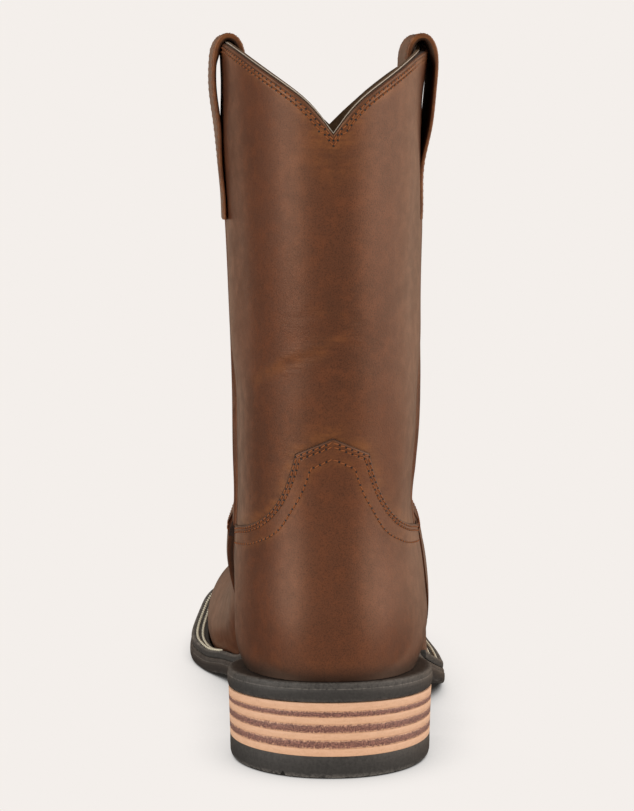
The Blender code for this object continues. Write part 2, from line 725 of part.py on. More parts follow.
def lift_level(share):
    """Level of a joint in the stacked heel: a share of the way from the cap to the seat."""
    return lambda y: HEEL_CAP_THICK + share * (heel_line(y) - HEEL_CAP_THICK)


def heel_outline(taper):
    """Outline of the heel, drawn in evenly from the sole's edge, with a straight breast."""
    stations = outline_stations(0.0, HEEL_BREAST - 1.0, SOLE_HEEL_ROUND, None)
    outline = closed_outline(stations, sole_half_width)
    drawn = inset(outline, taper)
    half = len(stations)
    front = HEEL_BREAST - 1.0 - taper
    drawn[half - 1] = (outline[half - 1, 0] - taper, front)
    drawn[half] = (outline[half, 0] + taper, front)
    return drawn


def make_heel_lifts():
    total = sum(LIFT_SHARES)
    top = 1.0
    for number, share in enumerate(LIFT_SHARES, start=1):
        bottom = top - share / total
        outline_low = heel_outline(HEEL_INSET + HEEL_TAPER * (1 - bottom))
        outline_high = heel_outline(HEEL_INSET + HEEL_TAPER * (1 - top))
        low, high = lift_level(bottom), lift_level(top)
        rings = [
            ring_at(outline_low, lambda y, low=low: low(y) + GAP / 2),
            ring_at(outline_high, lambda y, high=high: high(y) - GAP / 2),
        ]
        slab("heel_lift_%d" % number, rings, "tan_lift" if number % 2 else "dark_lift", 0.7)
        top = bottom


def make_heel_cap():
    edge = heel_outline(HEEL_INSET + HEEL_TAPER)
    rings = [
        ring_at(inset(edge, 1.6), 0.0),
        ring_at(inset(edge, 0.5), 1.4),
        ring_at(edge, HEEL_CAP_THICK - GAP / 2),
    ]
    cap = slab("heel_cap", rings, "rubber", 0.75)
    for x, back in ((-18.5, -5.0), (18.5, 16.0)):
        cut_to(cap, groove_cutter(x, back, HEEL_BREAST + 5.0), "DIFFERENCE")
    return cap


def groove_cutter(x, back, front):
    """A tread groove with sloping sides, along the heel cap."""
    width, depth = 2.0, 1.8
    section = [(x - width, -1.0), (x + width, -1.0), (x + 0.3, depth), (x - 0.3, depth)]
    points = [(px, y, pz) for y in (back, front) for px, pz in section]
    faces = [(0, 1, 2, 3), (7, 6, 5, 4), (0, 4, 5, 1), (1, 5, 6, 2), (2, 6, 7, 3), (3, 7, 4, 0)]
    return make_object("groove", points, faces, "rubber")


def make_insole():
    clear = WALL + 1.3

    def half_width(y, side):
        return np.maximum(feather_half_width(y, side) - 0.2, 0)

    stations = outline_stations(SEAT_Y, TOE_Y, FEATHER_HEEL_ROUND, FEATHER_TOE_ROUND)
    edge = inset(closed_outline(stations, half_width), clear)
    rings = [
        ring_at(edge, lambda y: sole_top(y) + GAP),
        ring_at(edge, lambda y: sole_top(y) + GAP + INSOLE_THICK),
    ]
    return slab("insole", rings, "insole", 0.8)


def wall_half_width(y, side):
    """Half-width of the upper's wall at the level of the welt's top."""
    return side * surface_x(y, feather_height(y) + WELT_THICK, side)


def welt_underside(y):
    return sole_top(y) + GAP


def welt_top(y):
    return sole_top(y) + GAP + WELT_THICK


def make_welt():
    """A strip on the outsole's rim, from one side of the heel round the toe to the other."""
    start = HEEL_BREAST + 4.0
    sole_stations = outline_stations(start, SOLE_LENGTH, None, SOLE_TOE_ROUND)
    foot_stations = outline_stations(start, TOE_Y, None, FEATHER_TOE_ROUND)
    outer = inset(closed_outline(sole_stations, sole_half_width), 0.3)
    feather = closed_outline(foot_stations, feather_half_width)
    wall = closed_outline(foot_stations, wall_half_width)
    low_in = inset(feather, -(GAP + OVERLAY + 1.0))
    high_in = inset(wall, -(GAP + OVERLAY + 1.8))
    for ring in (outer, low_in, high_in):
        ring[[0, -1], 1] = start
    count = len(outer)
    rings = [
        ring_at(outer, welt_underside),
        ring_at(outer, welt_top),
        ring_at(high_in, welt_top),
        ring_at(low_in, welt_underside),
    ]
    points = np.vstack(rings)
    faces = []
    for j in range(count - 1):
        for level in range(4):
            a, b = level * count, ((level + 1) % 4) * count
            faces.append((a + j, a + j + 1, b + j + 1, b + j))
    for end in (0, count - 1):
        faces.append(tuple(level * count + end for level in range(4)))
    return make_object("welt", points, faces, "rubber", 0.6)


def centre_on_floor():
    """Moves the boot so that the middle of its footprint is the origin."""
    bpy.context.view_layer.update()
    parts = list(bpy.context.scene.objects)
    corners = np.array([v.co for part in parts for v in part.data.vertices])
    middle = (corners.min(axis=0) + corners.max(axis=0)) / 2
    for part in parts:
        for vertex in part.data.vertices:
            vertex.co.x -= middle[0]
            vertex.co.y -= middle[1]


def build():
    for old in list(bpy.data.objects):
        bpy.data.objects.remove(old, do_unlink=True)
    make_outsole()
    make_welt()
    make_insole()
    make_heel_lifts()
    make_heel_cap()
    make_upper()
    make_vamp()
    make_heel_counter()
    for side, word in ((MEDIAL, "medial"), (LATERAL, "lateral")):
        make_piping(side, "side_piping_" + word)
        make_pull_strap(side, "pull_strap_" + word)
    centre_on_floor()


build()
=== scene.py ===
"""Looks of the roper boot for the right foot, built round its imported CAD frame.

The tables of the last are those of the CAD source, so each piece is a finer copy of its CAD node on
the same surface, with what the CAD leaves out: lining, stitches, creases, worn edges and finishes.

Lengths are millimetres on the last: x to the outer side of the foot, y from the back of the heel to
the toe, z up from the floor. They become metres in the part's frame when a mesh is made.
"""

import math

import bmesh
import bpy
import numpy as np
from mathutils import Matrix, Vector


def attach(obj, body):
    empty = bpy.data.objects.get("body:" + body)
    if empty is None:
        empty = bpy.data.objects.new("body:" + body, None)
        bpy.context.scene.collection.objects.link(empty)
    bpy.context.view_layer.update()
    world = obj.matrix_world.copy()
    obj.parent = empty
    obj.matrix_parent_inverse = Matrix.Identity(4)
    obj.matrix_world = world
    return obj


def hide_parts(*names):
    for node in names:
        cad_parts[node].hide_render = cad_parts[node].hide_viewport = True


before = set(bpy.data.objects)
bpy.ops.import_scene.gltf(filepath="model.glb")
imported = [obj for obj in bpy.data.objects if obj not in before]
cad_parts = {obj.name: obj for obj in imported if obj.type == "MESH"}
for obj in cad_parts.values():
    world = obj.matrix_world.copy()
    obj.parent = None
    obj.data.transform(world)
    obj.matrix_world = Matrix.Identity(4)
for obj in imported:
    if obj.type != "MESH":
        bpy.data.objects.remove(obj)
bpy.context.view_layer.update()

MM = 0.001
LAST_TO_PART = np.array([1.97844, -153.8, 0.0])
MEDIAL = -1.0
LATERAL = 1.0

# Main sizes
GAP = 0.3
SOLE_LENGTH = 306.0
HEEL_BREAST = 73.0
WALL = 2.6
OVERLAY = 1.6
COLLAR_V_HEIGHT = 248.0
EAR_HEIGHT = 283.8
EAR_FLARE = 2.2
SEAM_Y = 69.0
SEAM_TOP = 89.0
SEAT_Y = 4.0
TOE_Y = 296.5

# Sole and heel
HEEL_CAP_THICK = 8.8
STACK_TOP_BACK = 30.0
SEAT_SLOPE = 0.055
OUTSOLE_HEEL_THICK = 8.0
OUTSOLE_FORE_THICK = 7.0
WELT_THICK = 3.2
WELT_START_MEDIAL = 128.0
WELT_START_LATERAL = 112.0
INSOLE_THICK = 3.5
FLAT_FROM = 172.0
FLAT_TO = 206.0
TOE_SPRING = 14.5
SOLE_BULGE = 1.6
HEEL_INSET = 0.4
HEEL_TAPER = 0.6
LIFT_SHARES = (8.0, 6.0, 7.0, 8.5, 7.0, 8.5, 7.5)

# Round ends of the outlines: where the rounding starts, the tip, the power of the curve
FEATHER_HEEL_ROUND = (48.0, SEAT_Y, 2.2)
FEATHER_TOE_ROUND = (256.0, TOE_Y, 3.0)
SOLE_HEEL_ROUND = (45.0, 0.0, 2.1)
SOLE_TOE_ROUND = (262.0, SOLE_LENGTH, 3.1)

# Waist and arch, drawn in and lifted over these spans of y, x and height
WAIST_NARROWING_MEDIAL = 0.125
WAIST_NARROWING_LATERAL = 0.10
WAIST_FROM = (48.0, 70.0)
WAIST_TO = (105.0, 145.0)
WAIST_TOP_MEDIAL = (44.0, 78.0)
WAIST_TOP_LATERAL = (37.0, 49.0)
ARCH_LIFT = 3.4
ARCH_FROM = (80.0, 125.0)
ARCH_TO = (165.0, 193.0)
ARCH_ACROSS = (8.0, -32.0)
ARCH_TOP = (30.0, 75.0)

# Straps, side piping and edges
STRAP_WIDTH = 27.0
STRAP_THICK = 2.0
STRAP_END_THICK = 1.5
STRAP_TWIST = 0.068
STRAP_FOOT_HEIGHT = 213.0
STRAP_INSIDE_HEIGHT = 244.0
PIPING_HALF_WIDTH = 1.4
PIPING_RADIUS = 1.1
PIPING_PROUD = 1.9
PIPING_TOP = STRAP_FOOT_HEIGHT + 1.0
VAMP_FULLNESS = 0.6
VAMP_BACK = SEAM_Y + PIPING_HALF_WIDTH + 0.1
VAMP_LEATHER_EDGE = SEAM_Y + PIPING_HALF_WIDTH + 2.5
OVERLAY_EDGE_RISE = 1.0
OVERLAY_EDGE_ROUND = 1.3
COUNTER_LIMIT = SEAM_Y - 2.8
COUNTER_TAPER_MEDIAL = 17.0
COUNTER_TAPER_LATERAL = 5.0
COUNTER_THIN_SHARE = 0.25
LINING_RISE = 0.75
LINING_RIM_DEPTH = 0.42
LEATHER_DEPTH = 1.3
LINING_DEPTH = 1.5

# Spans over which the shaft's sides stand out: y, height
FULL_REAR = (38.0, 66.0)
FULL_FORE = (90.0, 126.0)
FULL_ABOVE_ANKLE = (138.0, 172.0)
FULL_TOP_MEDIAL = (238.0, 272.0)
FULL_TOP_LATERAL = (205.0, 250.0)
FULL_SEAM_STEP = (SEAM_Y - 0.3, SEAM_Y + 1.3)
FULL_OVER_VAMP_MEDIAL = (0.0, 30.0)
FULL_OVER_VAMP_LATERAL = (0.0, 25.0)
FLARE_HEIGHT = (258.0, 282.0)
FLARE_REACH = 22.0
BACK_OF_SHAFT = (48.0, 28.0)
WAVES_FROM = (96.0, 116.0)
WAVES_TO = (COLLAR_V_HEIGHT - 4.0, COLLAR_V_HEIGHT - 44.0)
WAVE_HEIGHT = 0.14

# The vamp's fuller places: beside the inner seam by y and depth, and along the outer flank by y
VAMP_FULL_TO = (76.0, 100.0)
VAMP_FULL_DEPTH = (0.0, 46.0)
FLANK_FULLNESS = 3.0
FLANK_FROM = (118.0, 148.0)
FLANK_TO = (175.0, 205.0)
FLANK_HEIGHT = 9.0
FLANK_X = 20.0

# Stretches of a strap: thinned foot by distance along it, and by height where it turns, lies and swells
STRAP_THINNED = (8.0, 22.0)
STRAP_TURNS = (228.0, 252.0)
STRAP_LIES = (220.0, 244.0)
STRAP_SWELLS = (273.0, 279.0)
STRAP_EDGE = 0.7

# Half-widths: y, feather_medial, feather_lateral, sole_medial, sole_lateral
FOOT_PLAN = (
    (0.0, 32.0, 32.0, 40.6, 40.6),
    (40.0, 32.0, 32.4, 41.0, 41.2),
    (75.0, 30.4, 34.0, 38.4, 42.6),
    (110.0, 27.0, 37.4, 34.8, 47.0),
    (150.0, 29.4, 42.0, 37.0, 53.2),
    (174.0, 36.8, 43.0, 44.4, 53.8),
    (190.0, 42.6, 42.4, 50.6, 52.8),
    (213.0, 46.0, 40.4, 57.0, 50.6),
    (240.0, 45.8, 37.8, 57.0, 48.4),
    (265.0, 43.4, 35.8, 54.0, 46.6),
    (306.0, 39.0, 32.5, 48.5, 43.0),
)

# Sections of the last: base, top_y, top_z, crown_x, medial, lateral, widest, low_power, top_power
BACK_SECTIONS = (
    (300.0, 147.5, 300.0, 3.2, 44.0, 38.6, 0.50, 2.10, 2.10),
    (258.0, 145.0, 258.0, 3.2, 42.2, 37.7, 0.50, 2.10, 2.10),
    (210.0, 141.0, 210.0, 3.0, 39.2, 36.2, 0.50, 2.10, 2.10),
    (177.0, 137.5, 177.0, 2.8, 37.8, 35.6, 0.50, 2.10, 2.10),
    (144.0, 133.5, 145.0, 2.4, 36.8, 36.0, 0.50, 2.10, 2.10),
    (120.0, 131.2, 127.0, 1.8, 36.8, 35.2, 0.49, 2.10, 2.10),
    (97.0, 132.4, 115.5, 1.2, 36.6, 33.8, 0.50, 2.15, 2.10),
    (75.0, 135.6, 107.4, 0.6, 37.2, 35.0, 0.55, 2.20, 2.20),
    (55.0, 139.6, 101.2, 0.2, 38.2, 37.4, 0.60, 2.30, 2.30),
    (36.6, 143.6, 96.6, -0.2, 39.0, 39.2, 0.61, 2.30, 2.35),
)
FOOT_SECTIONS = (
    (24.0, 148.0, 92.2, -0.6, 39.4, 40.4, 0.56, 2.25, 2.30),
    (50.0, 154.2, 87.0, -1.0, 39.0, 41.2, 0.48, 2.20, 2.20),
    (80.0, 162.4, 81.4, -1.6, 38.4, 42.2, 0.40, 2.20, 2.08),
    (110.0, 172.4, 75.6, -2.2, 38.4, 43.2, 0.33, 2.20, 1.95),
    (140.0, 183.6, 70.2, -2.8, 39.8, 44.4, 0.28, 2.20, 1.88),
    (166.0, 195.6, 65.6, -3.2, 43.6, 45.2, 0.25, 2.20, 1.82),
    (190.0, 208.0, 61.8, -3.4, 47.2, 44.8, 0.24, 2.20, 1.82),
    (212.0, 222.4, 58.0, -3.4, 49.0, 43.0, 0.24, 2.20, 1.84),
    (236.0, 240.4, 53.2, -3.2, 48.6, 40.4, 0.25, 2.20, 1.90),
    (257.0, 258.4, 48.0, -3.2, 46.6, 38.4, 0.27, 2.20, 2.00),
    (272.0, 272.4, 43.4, -3.2, 45.0, 37.2, 0.29, 2.20, 2.10),
    (282.0, 282.0, 39.4, -3.2, 44.0, 36.4, 0.31, 2.20, 2.20),
    (290.0, 290.0, 34.4, -3.2, 43.2, 35.8, 0.33, 2.20, 2.30),
    (294.5, 294.5, 29.0, -3.2, 42.8, 35.4, 0.35, 2.20, 2.40),
    (296.5, 296.5, 23.0, -3.2, 42.6, 35.2, 0.37, 2.20, 2.50),
)

# Back of the leg: height, y
BACK_LINE = (
    (36.6, 4.0), (46.0, 3.2), (56.0, 3.2), (75.0, 6.4), (97.0, 9.8), (116.0, 10.4),
    (140.0, 8.8), (180.0, 5.8), (240.0, 4.0), (300.0, 3.0),
)

# Top edge of the heel counter, and the single row of stitches on it: distance round the leg, height
COUNTER_EDGE = (
    (0.0, 131.6), (14.4, 125.2), (16.3, 118.8), (19.2, 111.4), (24.2, 104.0), (32.5, 97.8), (40.0, 95.0),
    (48.0, 93.0), (56.0, 91.7), (64.0, 90.2), (72.0, SEAM_TOP),
)
COUNTER_INNER_ROW = (
    (0.0, 123.8), (7.8, 119.8), (9.5, 115.0), (12.0, 108.8), (16.0, 102.2), (20.4, 96.0), (25.4, 92.2),
    (32.0, 89.4), (40.0, 87.0), (50.0, 85.2), (66.0, 83.2),
)

# Top edge of the vamp: y, height
VAMP_EDGE = (
    (SEAM_Y, SEAM_TOP), (92.0, 90.0), (110.0, 96.0), (122.0, 108.0), (130.0, 129.0), (137.0, 147.0),
)

# Top of the lining along the collar: distance from the middle of the V, height
COLLAR_BACK_ARM = (
    (0.0, COLLAR_V_HEIGHT), (1.8, 250.3), (3.7, 252.9), (5.6, 255.2), (8.0, 257.8), (11.2, 260.8),
    (17.3, 265.5), (26.7, 272.3), (32.0, 276.4), (37.5, 280.8), (39.4, 282.3), (42.0, EAR_HEIGHT),
)
COLLAR_FRONT_ARM = (
    (0.0, 249.8), (4.8, 254.1), (8.7, 257.2), (13.4, 261.2), (18.0, 265.1), (23.1, 269.2), (28.4, 273.3),
    (33.3, 276.7), (38.0, 280.2), (44.0, EAR_HEIGHT),
)

# How far a strap's inner face stands off the shaft: height, medial, lateral, thickness
STRAP_STANDOFFS = (
    (STRAP_FOOT_HEIGHT, 2.0, 0.45, STRAP_END_THICK), (222.0, 1.8, 0.3, STRAP_END_THICK),
    (235.0, 1.5, -0.7, STRAP_THICK), (250.0, 1.45, 1.1, STRAP_THICK), (265.0, 2.5, 2.3, STRAP_THICK),
)

# Middle line of a strap over the ear: distance outward from the ear, height
STRAP_LOOP = (
    (2.8, 276.0), (1.5, 282.2), (-1.4, 285.2), (-4.8, 284.8), (-7.4, 281.6), (-8.4, 277.0), (-8.2, 269.0),
    (-7.4, 260.0),
)
STRAP_EAR_HEIGHT = 278.0
STRAP_EAR_OUT_LATERAL = 0.8

# Creases on the back of the shaft: line of x and height, width, depth
CREASES = (
    (((-29.0, 151.5), (-18.2, 159.0), (-10.6, 162.2), (-4.0, 164.0)), 2.8, 0.24),
    (((-27.0, 155.0), (-18.2, 162.0), (-10.6, 165.2), (-4.0, 167.0), (4.5, 170.7)), 2.2, -0.18),
    (((-20.0, 175.2), (-12.5, 178.0), (-4.0, 179.6)), 1.8, 0.07),
    (((-9.0, 182.0), (1.1, 180.0), (9.0, 176.6)), 1.8, 0.10),
    (((-8.7, 170.6), (1.1, 169.6), (9.0, 167.0)), 1.8, 0.09),
)

# Dents beside the creases: x, height, half-width, half-height, depth
DENTS = (
    (-20.0, 156.0, 8.0, 7.0, 0.40), (2.0, 158.0, 6.0, 8.0, -0.15), (14.0, 164.0, 9.0, 9.0, 0.12),
)

# Distances of the sewn rows from the edges
COLLAR_ROWS = (1.6, 3.2)
COUNTER_ROWS = (1.2, 2.7)
VAMP_ROWS = (1.5, 3.4)

# Stitches: pitch, length, radius
COLLAR_STITCH = (2.65, 2.0, 0.27)
OVERLAY_STITCH = (2.7, 2.05, 0.27)
STRAP_STITCH = (2.7, 2.05, 0.22)
WELT_STITCH = (2.7, 1.9, 0.5)

# Rings of one stitch: place along it, size, lift
STITCH_RINGS = (
    (-1.0, 0.25, -0.75), (-0.86, 0.72, -0.35), (-0.5, 0.98, 0.12), (0.0, 1.0, 0.3), (0.5, 0.98, 0.12),
    (0.86, 0.72, -0.35), (1.0, 0.25, -0.75),
)
STITCH_SIDES = 6

# How far to each side a stitch's direction is taken, and the hole beside it: size in radii, rim, bottom
STITCH_AIM = 0.4
HOLE_SIZE = 1.5
HOLE_RIM = 0.1
HOLE_BOTTOM = -0.2

# Height of the threads above what they are sewn to, and the straps' rows from their edges
THREAD_LIFT = 0.05
WELT_THREAD_LIFT = 0.12
STRAP_THREAD_SINK = 0.16
STRAP_ROW_INSET = 2.4

# Wall of the outsole: share of its height, how far it is drawn in, wear, stain
OUTSOLE_WALL = (
    (0.00, 2.2, 0.2, 0.0), (0.03, 1.0, 0.5, 0.0), (0.10, 0.35, 0.2, 0.0), (0.26, 0.0, 0.0, 0.0),
    (0.50, -0.05, 0.0, 0.0), (0.655, 0.0, 0.05, 0.0), (0.685, 0.22, 0.7, 0.0), (0.72, 0.2, 0.2, 0.0),
    (0.88, 0.3, 0.16, 0.0), (0.95, 0.6, 0.28, 0.0), (0.985, 1.2, 0.3, 0.3), (1.00, 2.0, 0.15, 0.8),
    (1.00, 3.4, 0.0, 1.0),
)

# Wall of a heel lift: share of its height, how far it is drawn in
LIFT_WALL = ((0.0, 0.12), (0.05, 0.0), (0.5, 0.0), (0.95, 0.0), (1.0, 0.12))

# Wall of the heel cap: height, how far it is drawn in, wear
CAP_WALL = (
    (0.0, 1.8, 0.3), (0.35, 1.0, 0.8), (1.1, 0.4, 0.4), (2.2, 0.1, 0.0), (5.0, 0.0, 0.0), (8.3, 0.0, 0.1),
    (8.75, 0.15, 0.2),
)

# Tread grooves in the heel cap: x, back, front
CAP_GROOVES = ((-19.4, -5.0, 30.0), (18.5, 16.0, HEEL_BREAST + 5.0))
GROOVE_HALF_WIDTH = 1.5
GROOVE_HALF_BOTTOM = 0.3
GROOVE_DEPTH = 2.0

# Wall of the insole: height, how far it is drawn in
INSOLE_WALL = ((0.0, 0.0), (2.6, 0.0), (3.2, 0.3), (INSOLE_THICK, 1.2))

# Wall of the welt's outer edge: how far it is drawn in, how far below the top, wear
WELT_WALL = (
    (0.4, WELT_THICK + GAP, 0.0), (0.1, WELT_THICK - 0.3, 0.2), (0.0, 1.4, 0.0), (0.2, 0.5, 0.5),
    (0.8, 0.08, 0.7), (1.6, 0.0, 0.3),
)
WELT_ROWS = (0.36, 0.68)
WELT_ROWS_FROM_MEDIAL = 172.0
WELT_ROWS_FROM_LATERAL = 150.0

# Colours
LEATHER_DARK = (0.113, 0.0365, 0.0160)
LEATHER_MID = (0.136, 0.0430, 0.0182)
LEATHER_WARM = (0.170, 0.0520, 0.0205)
LEATHER_PULL = (0.255, 0.088, 0.024)
# Darkest leather tone: for dark specks, for burnish and for painted shade
LEATHER_DARKEST_AND_SHADE = (0.022, 0.0095, 0.0055)
GLOSS_TINT = (1.0, 0.72, 0.54, 1.0)
RUBBER_DARK = (0.038, 0.0335, 0.0295)
RUBBER_GREY = (0.052, 0.046, 0.0405)
# Brown for leather stain on the rubber and for painted shade on the outsole's front
RUBBER_STAIN_AND_SHADE = (0.032, 0.017, 0.010)
RUBBER_WORN = (0.20, 0.175, 0.15)
TAN_DEEP = (0.72, 0.40, 0.230)
TAN_PALE = (0.79, 0.455, 0.272)
TAN_SPECK = (0.48, 0.225, 0.125)
BOARD_DARK = (0.120, 0.040, 0.026)
BOARD_RED = (0.37, 0.150, 0.100)
PAPER = (0.9047, 0.8632, 0.8308)
SHADOW_TONE = (0.50, 0.49, 0.48)
DEEP_SHADOW = (0.02, 0.018, 0.016)
ROOM_TINT = (1.0, 0.98, 0.96, 1.0)
BLACK = (0.0, 0.0, 0.0)

# Stage and camera, in metres
SHADOW_REACH = 0.05
ROOM_LIGHT = 1.02
STAGE_SIZE = 6.0
FLOOR_LEVEL = -0.0002
LIGHT_TARGET = Vector((0.0, -0.05, 0.14))
CAMERA_AT = Vector((-0.0329169, -1.1176448, 0.2614425))
CAMERA_YAW = math.radians(1.6985)
CAMERA_PITCH = math.radians(6.8641)
FOCAL_PIXELS = 2565.6
FRAME_HEIGHT = 811
SENSOR_WIDTH = 36.0

# Softboxes: name, azimuth, elevation, distance, width, height, power, colour
LIGHTS = (
    ("left_softbox", -65.0, 25.0, 1.7, 1.25, 2.0, 44.0, (1.0, 0.94, 0.88)),
    ("left_rim", -150.0, 14.0, 1.7, 0.8, 1.8, 3.4, (1.0, 0.72, 0.52)),
    ("right_softbox", 74.0, 24.0, 1.7, 1.6, 2.0, 46.0, (1.0, 0.88, 0.78)),
    ("right_back", 112.0, 18.0, 1.7, 0.9, 1.8, 11.0, (1.0, 0.78, 0.60)),
    ("right_rim", 141.0, 14.0, 1.7, 0.8, 1.8, 5.4, (1.0, 0.70, 0.49)),
    ("back_wall", 180.0, 8.0, 3.0, 4.0, 3.0, 8.0, (1.0, 0.78, 0.58)),
)


# Curves and lines

def natural_spline(knots, values):
    """Gives a function for the smooth curve through the values, one column or several."""
    knots = np.asarray(knots, float)
    values = np.asarray(values, float).reshape(len(knots), -1)
    count = len(knots)
    step = np.diff(knots)
    matrix = np.eye(count)
    right = np.zeros_like(values)
    slopes = np.diff(values, axis=0) / step[:, None]
    for i in range(1, count - 1):
        matrix[i, i - 1:i + 2] = step[i - 1], 2 * (step[i - 1] + step[i]), step[i]
        right[i] = 6 * (slopes[i] - slopes[i - 1])
    bend = np.linalg.solve(matrix, right)

    def curve(where):
        where = np.clip(np.asarray(where, float), knots[0], knots[-1])
        i = np.clip(np.searchsorted(knots, where) - 1, 0, count - 2)
        after = ((where - knots[i]) / step[i])[..., None]
        before = 1 - after
        arch = (before ** 3 - before) * bend[i] + (after ** 3 - after) * bend[i + 1]
        return before * values[i] + after * values[i + 1] + arch * (step[i] ** 2)[..., None] / 6

    return curve


def table_curve(table):
    """The smooth curve through a table's second column, by its first."""
    return natural_spline(*np.array(table).T)


def ramp(value, start, end):
    """Eases from 0 at the start to 1 at the end, which may lie below the start."""
    share = np.clip((value - start) / (end - start), 0, 1)
    return share * share * (3 - 2 * share)


def bell(distance, width):
    return np.exp(-(distance / width) ** 2)


def unit(vectors):
    return vectors / np.maximum(np.linalg.norm(vectors, axis=-1, keepdims=True), 1e-9)


def run_along(line):
    """Distance along a line of points, or along each of several lines, from its first point."""
    step = np.linalg.norm(np.diff(line, axis=-2), axis=-1)
    return np.concatenate([np.zeros(step.shape[:-1] + (1,)), np.cumsum(step, axis=-1)], axis=-1)


def at_places(places, run, values):
    """Rows of values at some places of the run that they belong to."""
    return np.stack([np.interp(places, run, column) for column in np.asarray(values).T], axis=-1)


def circle(count):
    """Angles of even steps round a circle."""
    return np.linspace(0, 2 * np.pi, count + 1)[:-1]


def stretched(start, stretches):
    """Places from a start through stretches, each given by its end and how many steps it has."""
    places = [start]
    for end, steps in stretches:
        places += list(np.linspace(places[-1], end, steps + 1)[1:])
    return np.array(places)


def line_distance(points, line):
    """Distance of each point from a line of points, in two or three dimensions."""
    points, line = np.asarray(points, float), np.asarray(line, float)
    best = np.full(len(points), np.inf)
    for start, end in zip(line[:-1], line[1:]):
        along = end - start
        share = np.clip(((points - start) @ along) / max(along @ along, 1e-12), 0, 1)
        best = np.minimum(best, np.linalg.norm(points - start - share[:, None] * along, axis=1))
    return best


def flat_distance(across, up, line):
    """Distance of places in a flat view from a line in that view."""
    plane = np.column_stack([across.ravel(), up.ravel()])
    return line_distance(plane, line).reshape(across.shape)


def beside(edge, distance):
    """A line in a flat view, moved to its right-hand side by a distance."""
    along = unit(np.gradient(edge, axis=0))
    return edge + distance * np.column_stack([along[:, 1], -along[:, 0]])


# Levels and widths of the last

def end_round(y, ending):
    """Share of the full width that is left at y as an outline rounds off to its end."""
    start, end, power = ending
    share = np.clip((y - start) / (end - start), 0, 1)
    return (1 - share ** power) ** (1 / power)


def toward_end(ending, count):
    """Places from where an outline starts to round off to its tip, close together at the tip."""
    start, end, power = ending
    return start + (end - start) * np.sin(np.linspace(0, np.pi / 2, count)) ** (2 / power)


PLAN = np.array(FOOT_PLAN)
PLAN_CURVE = natural_spline(PLAN[:, 0], PLAN[:, 1:])
BACK_CURVE = table_curve(BACK_LINE)
VAMP_CURVE = table_curve(VAMP_EDGE)


def heel_line(y):
    return STACK_TOP_BACK - SEAT_SLOPE * y


def sole_bottom(y):
    """Underside of the outsole: heel seat, arch, flat forefoot and toe spring."""
    y = np.asarray(y, float)
    arch = heel_line(y) * (1 - ramp(y, HEEL_BREAST, FLAT_FROM))
    spring = TOE_SPRING * (np.clip(y - FLAT_TO, 0, None) / (SOLE_LENGTH - FLAT_TO)) ** 1.8
    return arch + spring


def sole_top(y):
    thin = ramp(np.asarray(y, float), HEEL_BREAST, HEEL_BREAST + 60.0)
    return sole_bottom(y) + OUTSOLE_HEEL_THICK + (OUTSOLE_FORE_THICK - OUTSOLE_HEEL_THICK) * thin


def feather_height(y):
    return sole_top(y) + GAP


def welt_top(y):
    return feather_height(y) + WELT_THICK


def feather_half_width(y, side):
    full = PLAN_CURVE(y)[..., 0 if side == MEDIAL else 1]
    return full * end_round(y, FEATHER_HEEL_ROUND) * end_round(y, FEATHER_TOE_ROUND)


def sole_half_width(y, side):
    full = PLAN_CURVE(y)[..., 2 if side == MEDIAL else 3]
    return full * end_round(y, SOLE_HEEL_ROUND) * end_round(y, SOLE_TOE_ROUND)


# Surface of the upper. A station is a distance from the seat's back: negative up the back of the leg,
# positive along the feather line.

SEAT_Z = float(feather_height(SEAT_Y))


def section_curve():
    back = np.array(BACK_SECTIONS)
    foot = np.array(FOOT_SECTIONS)
    stations = np.concatenate([SEAT_Z - back[:, 0], foot[:, 0] - SEAT_Y])
    return natural_spline(stations, np.vstack([back[:, 1:], foot[:, 1:]]))


SECTION_CURVE = section_curve()


def section_base(station):
    """The base of a section: on the back of the leg, or on the feather line."""
    station = np.asarray(station, float)
    up = np.maximum(-station, 0)
    along = np.maximum(station, 0)
    y = np.where(station < 0, BACK_CURVE(SEAT_Z + up)[..., 0], SEAT_Y + along)
    z = np.where(station < 0, SEAT_Z + up, feather_height(SEAT_Y + along))
    return y, z


def surface_point(station, height_share, side):
    """A point of the upper: its sides bulge from the line between base and crown."""
    columns = np.moveaxis(SECTION_CURVE(station), -1, 0)
    top_y, top_z, crown_x, medial, lateral, widest, low_power, top_power = columns
    base_y, base_z = section_base(station)
    full = medial if side == MEDIAL else lateral
    on_sole = PLAN_CURVE(base_y)[..., 0 if side == MEDIAL else 1] * end_round(base_y, FEATHER_HEEL_ROUND)
    foot = np.where(station > 0, np.clip(on_sole / full, 0, 1), 0.0)
    cut = (1 - foot ** low_power) ** (1 / low_power)
    below = np.clip(1 - height_share / widest, 0, 1) * cut
    above = np.clip((height_share - widest) / (1 - widest), 0, 1)
    low = (1 - below ** low_power) ** (1 / low_power)
    top = (1 - above ** top_power) ** (1 / top_power)
    profile = np.where(height_share < widest, low, top)
    x = crown_x * height_share * (1 - profile) + side * full * profile
    y = base_y + height_share * (top_y - base_y)
    z = base_z + height_share * (top_z - base_z)
    return np.stack([x * end_round(base_y, FEATHER_TOE_ROUND), y, z], axis=-1)


def station_at(y, z):
    """Finds the station and height share of places in the side view by halving the span of stations."""
    y, z = np.broadcast_arrays(np.asarray(y, float), np.asarray(z, float))
    low = np.full(y.shape, SEAT_Z - 300.0)
    high = np.full(y.shape, TOE_Y - SEAT_Y)
    for _ in range(36):
        middle = (low + high) / 2
        base_y, base_z = section_base(middle)
        columns = SECTION_CURVE(middle)
        along, rise = columns[..., 0] - base_y, columns[..., 1] - base_z
        above = along * (z - base_z) > rise * (y - base_y)
        low, high = np.where(above, low, middle), np.where(above, middle, high)
    share = ((y - base_y) * along + (z - base_z) * rise) / (along ** 2 + rise ** 2)
    return middle, np.clip(share, 0, 1)


def surface_x(y, z, side):
    station, share = station_at(y, z)
    return surface_point(station, share, side)[..., 0]


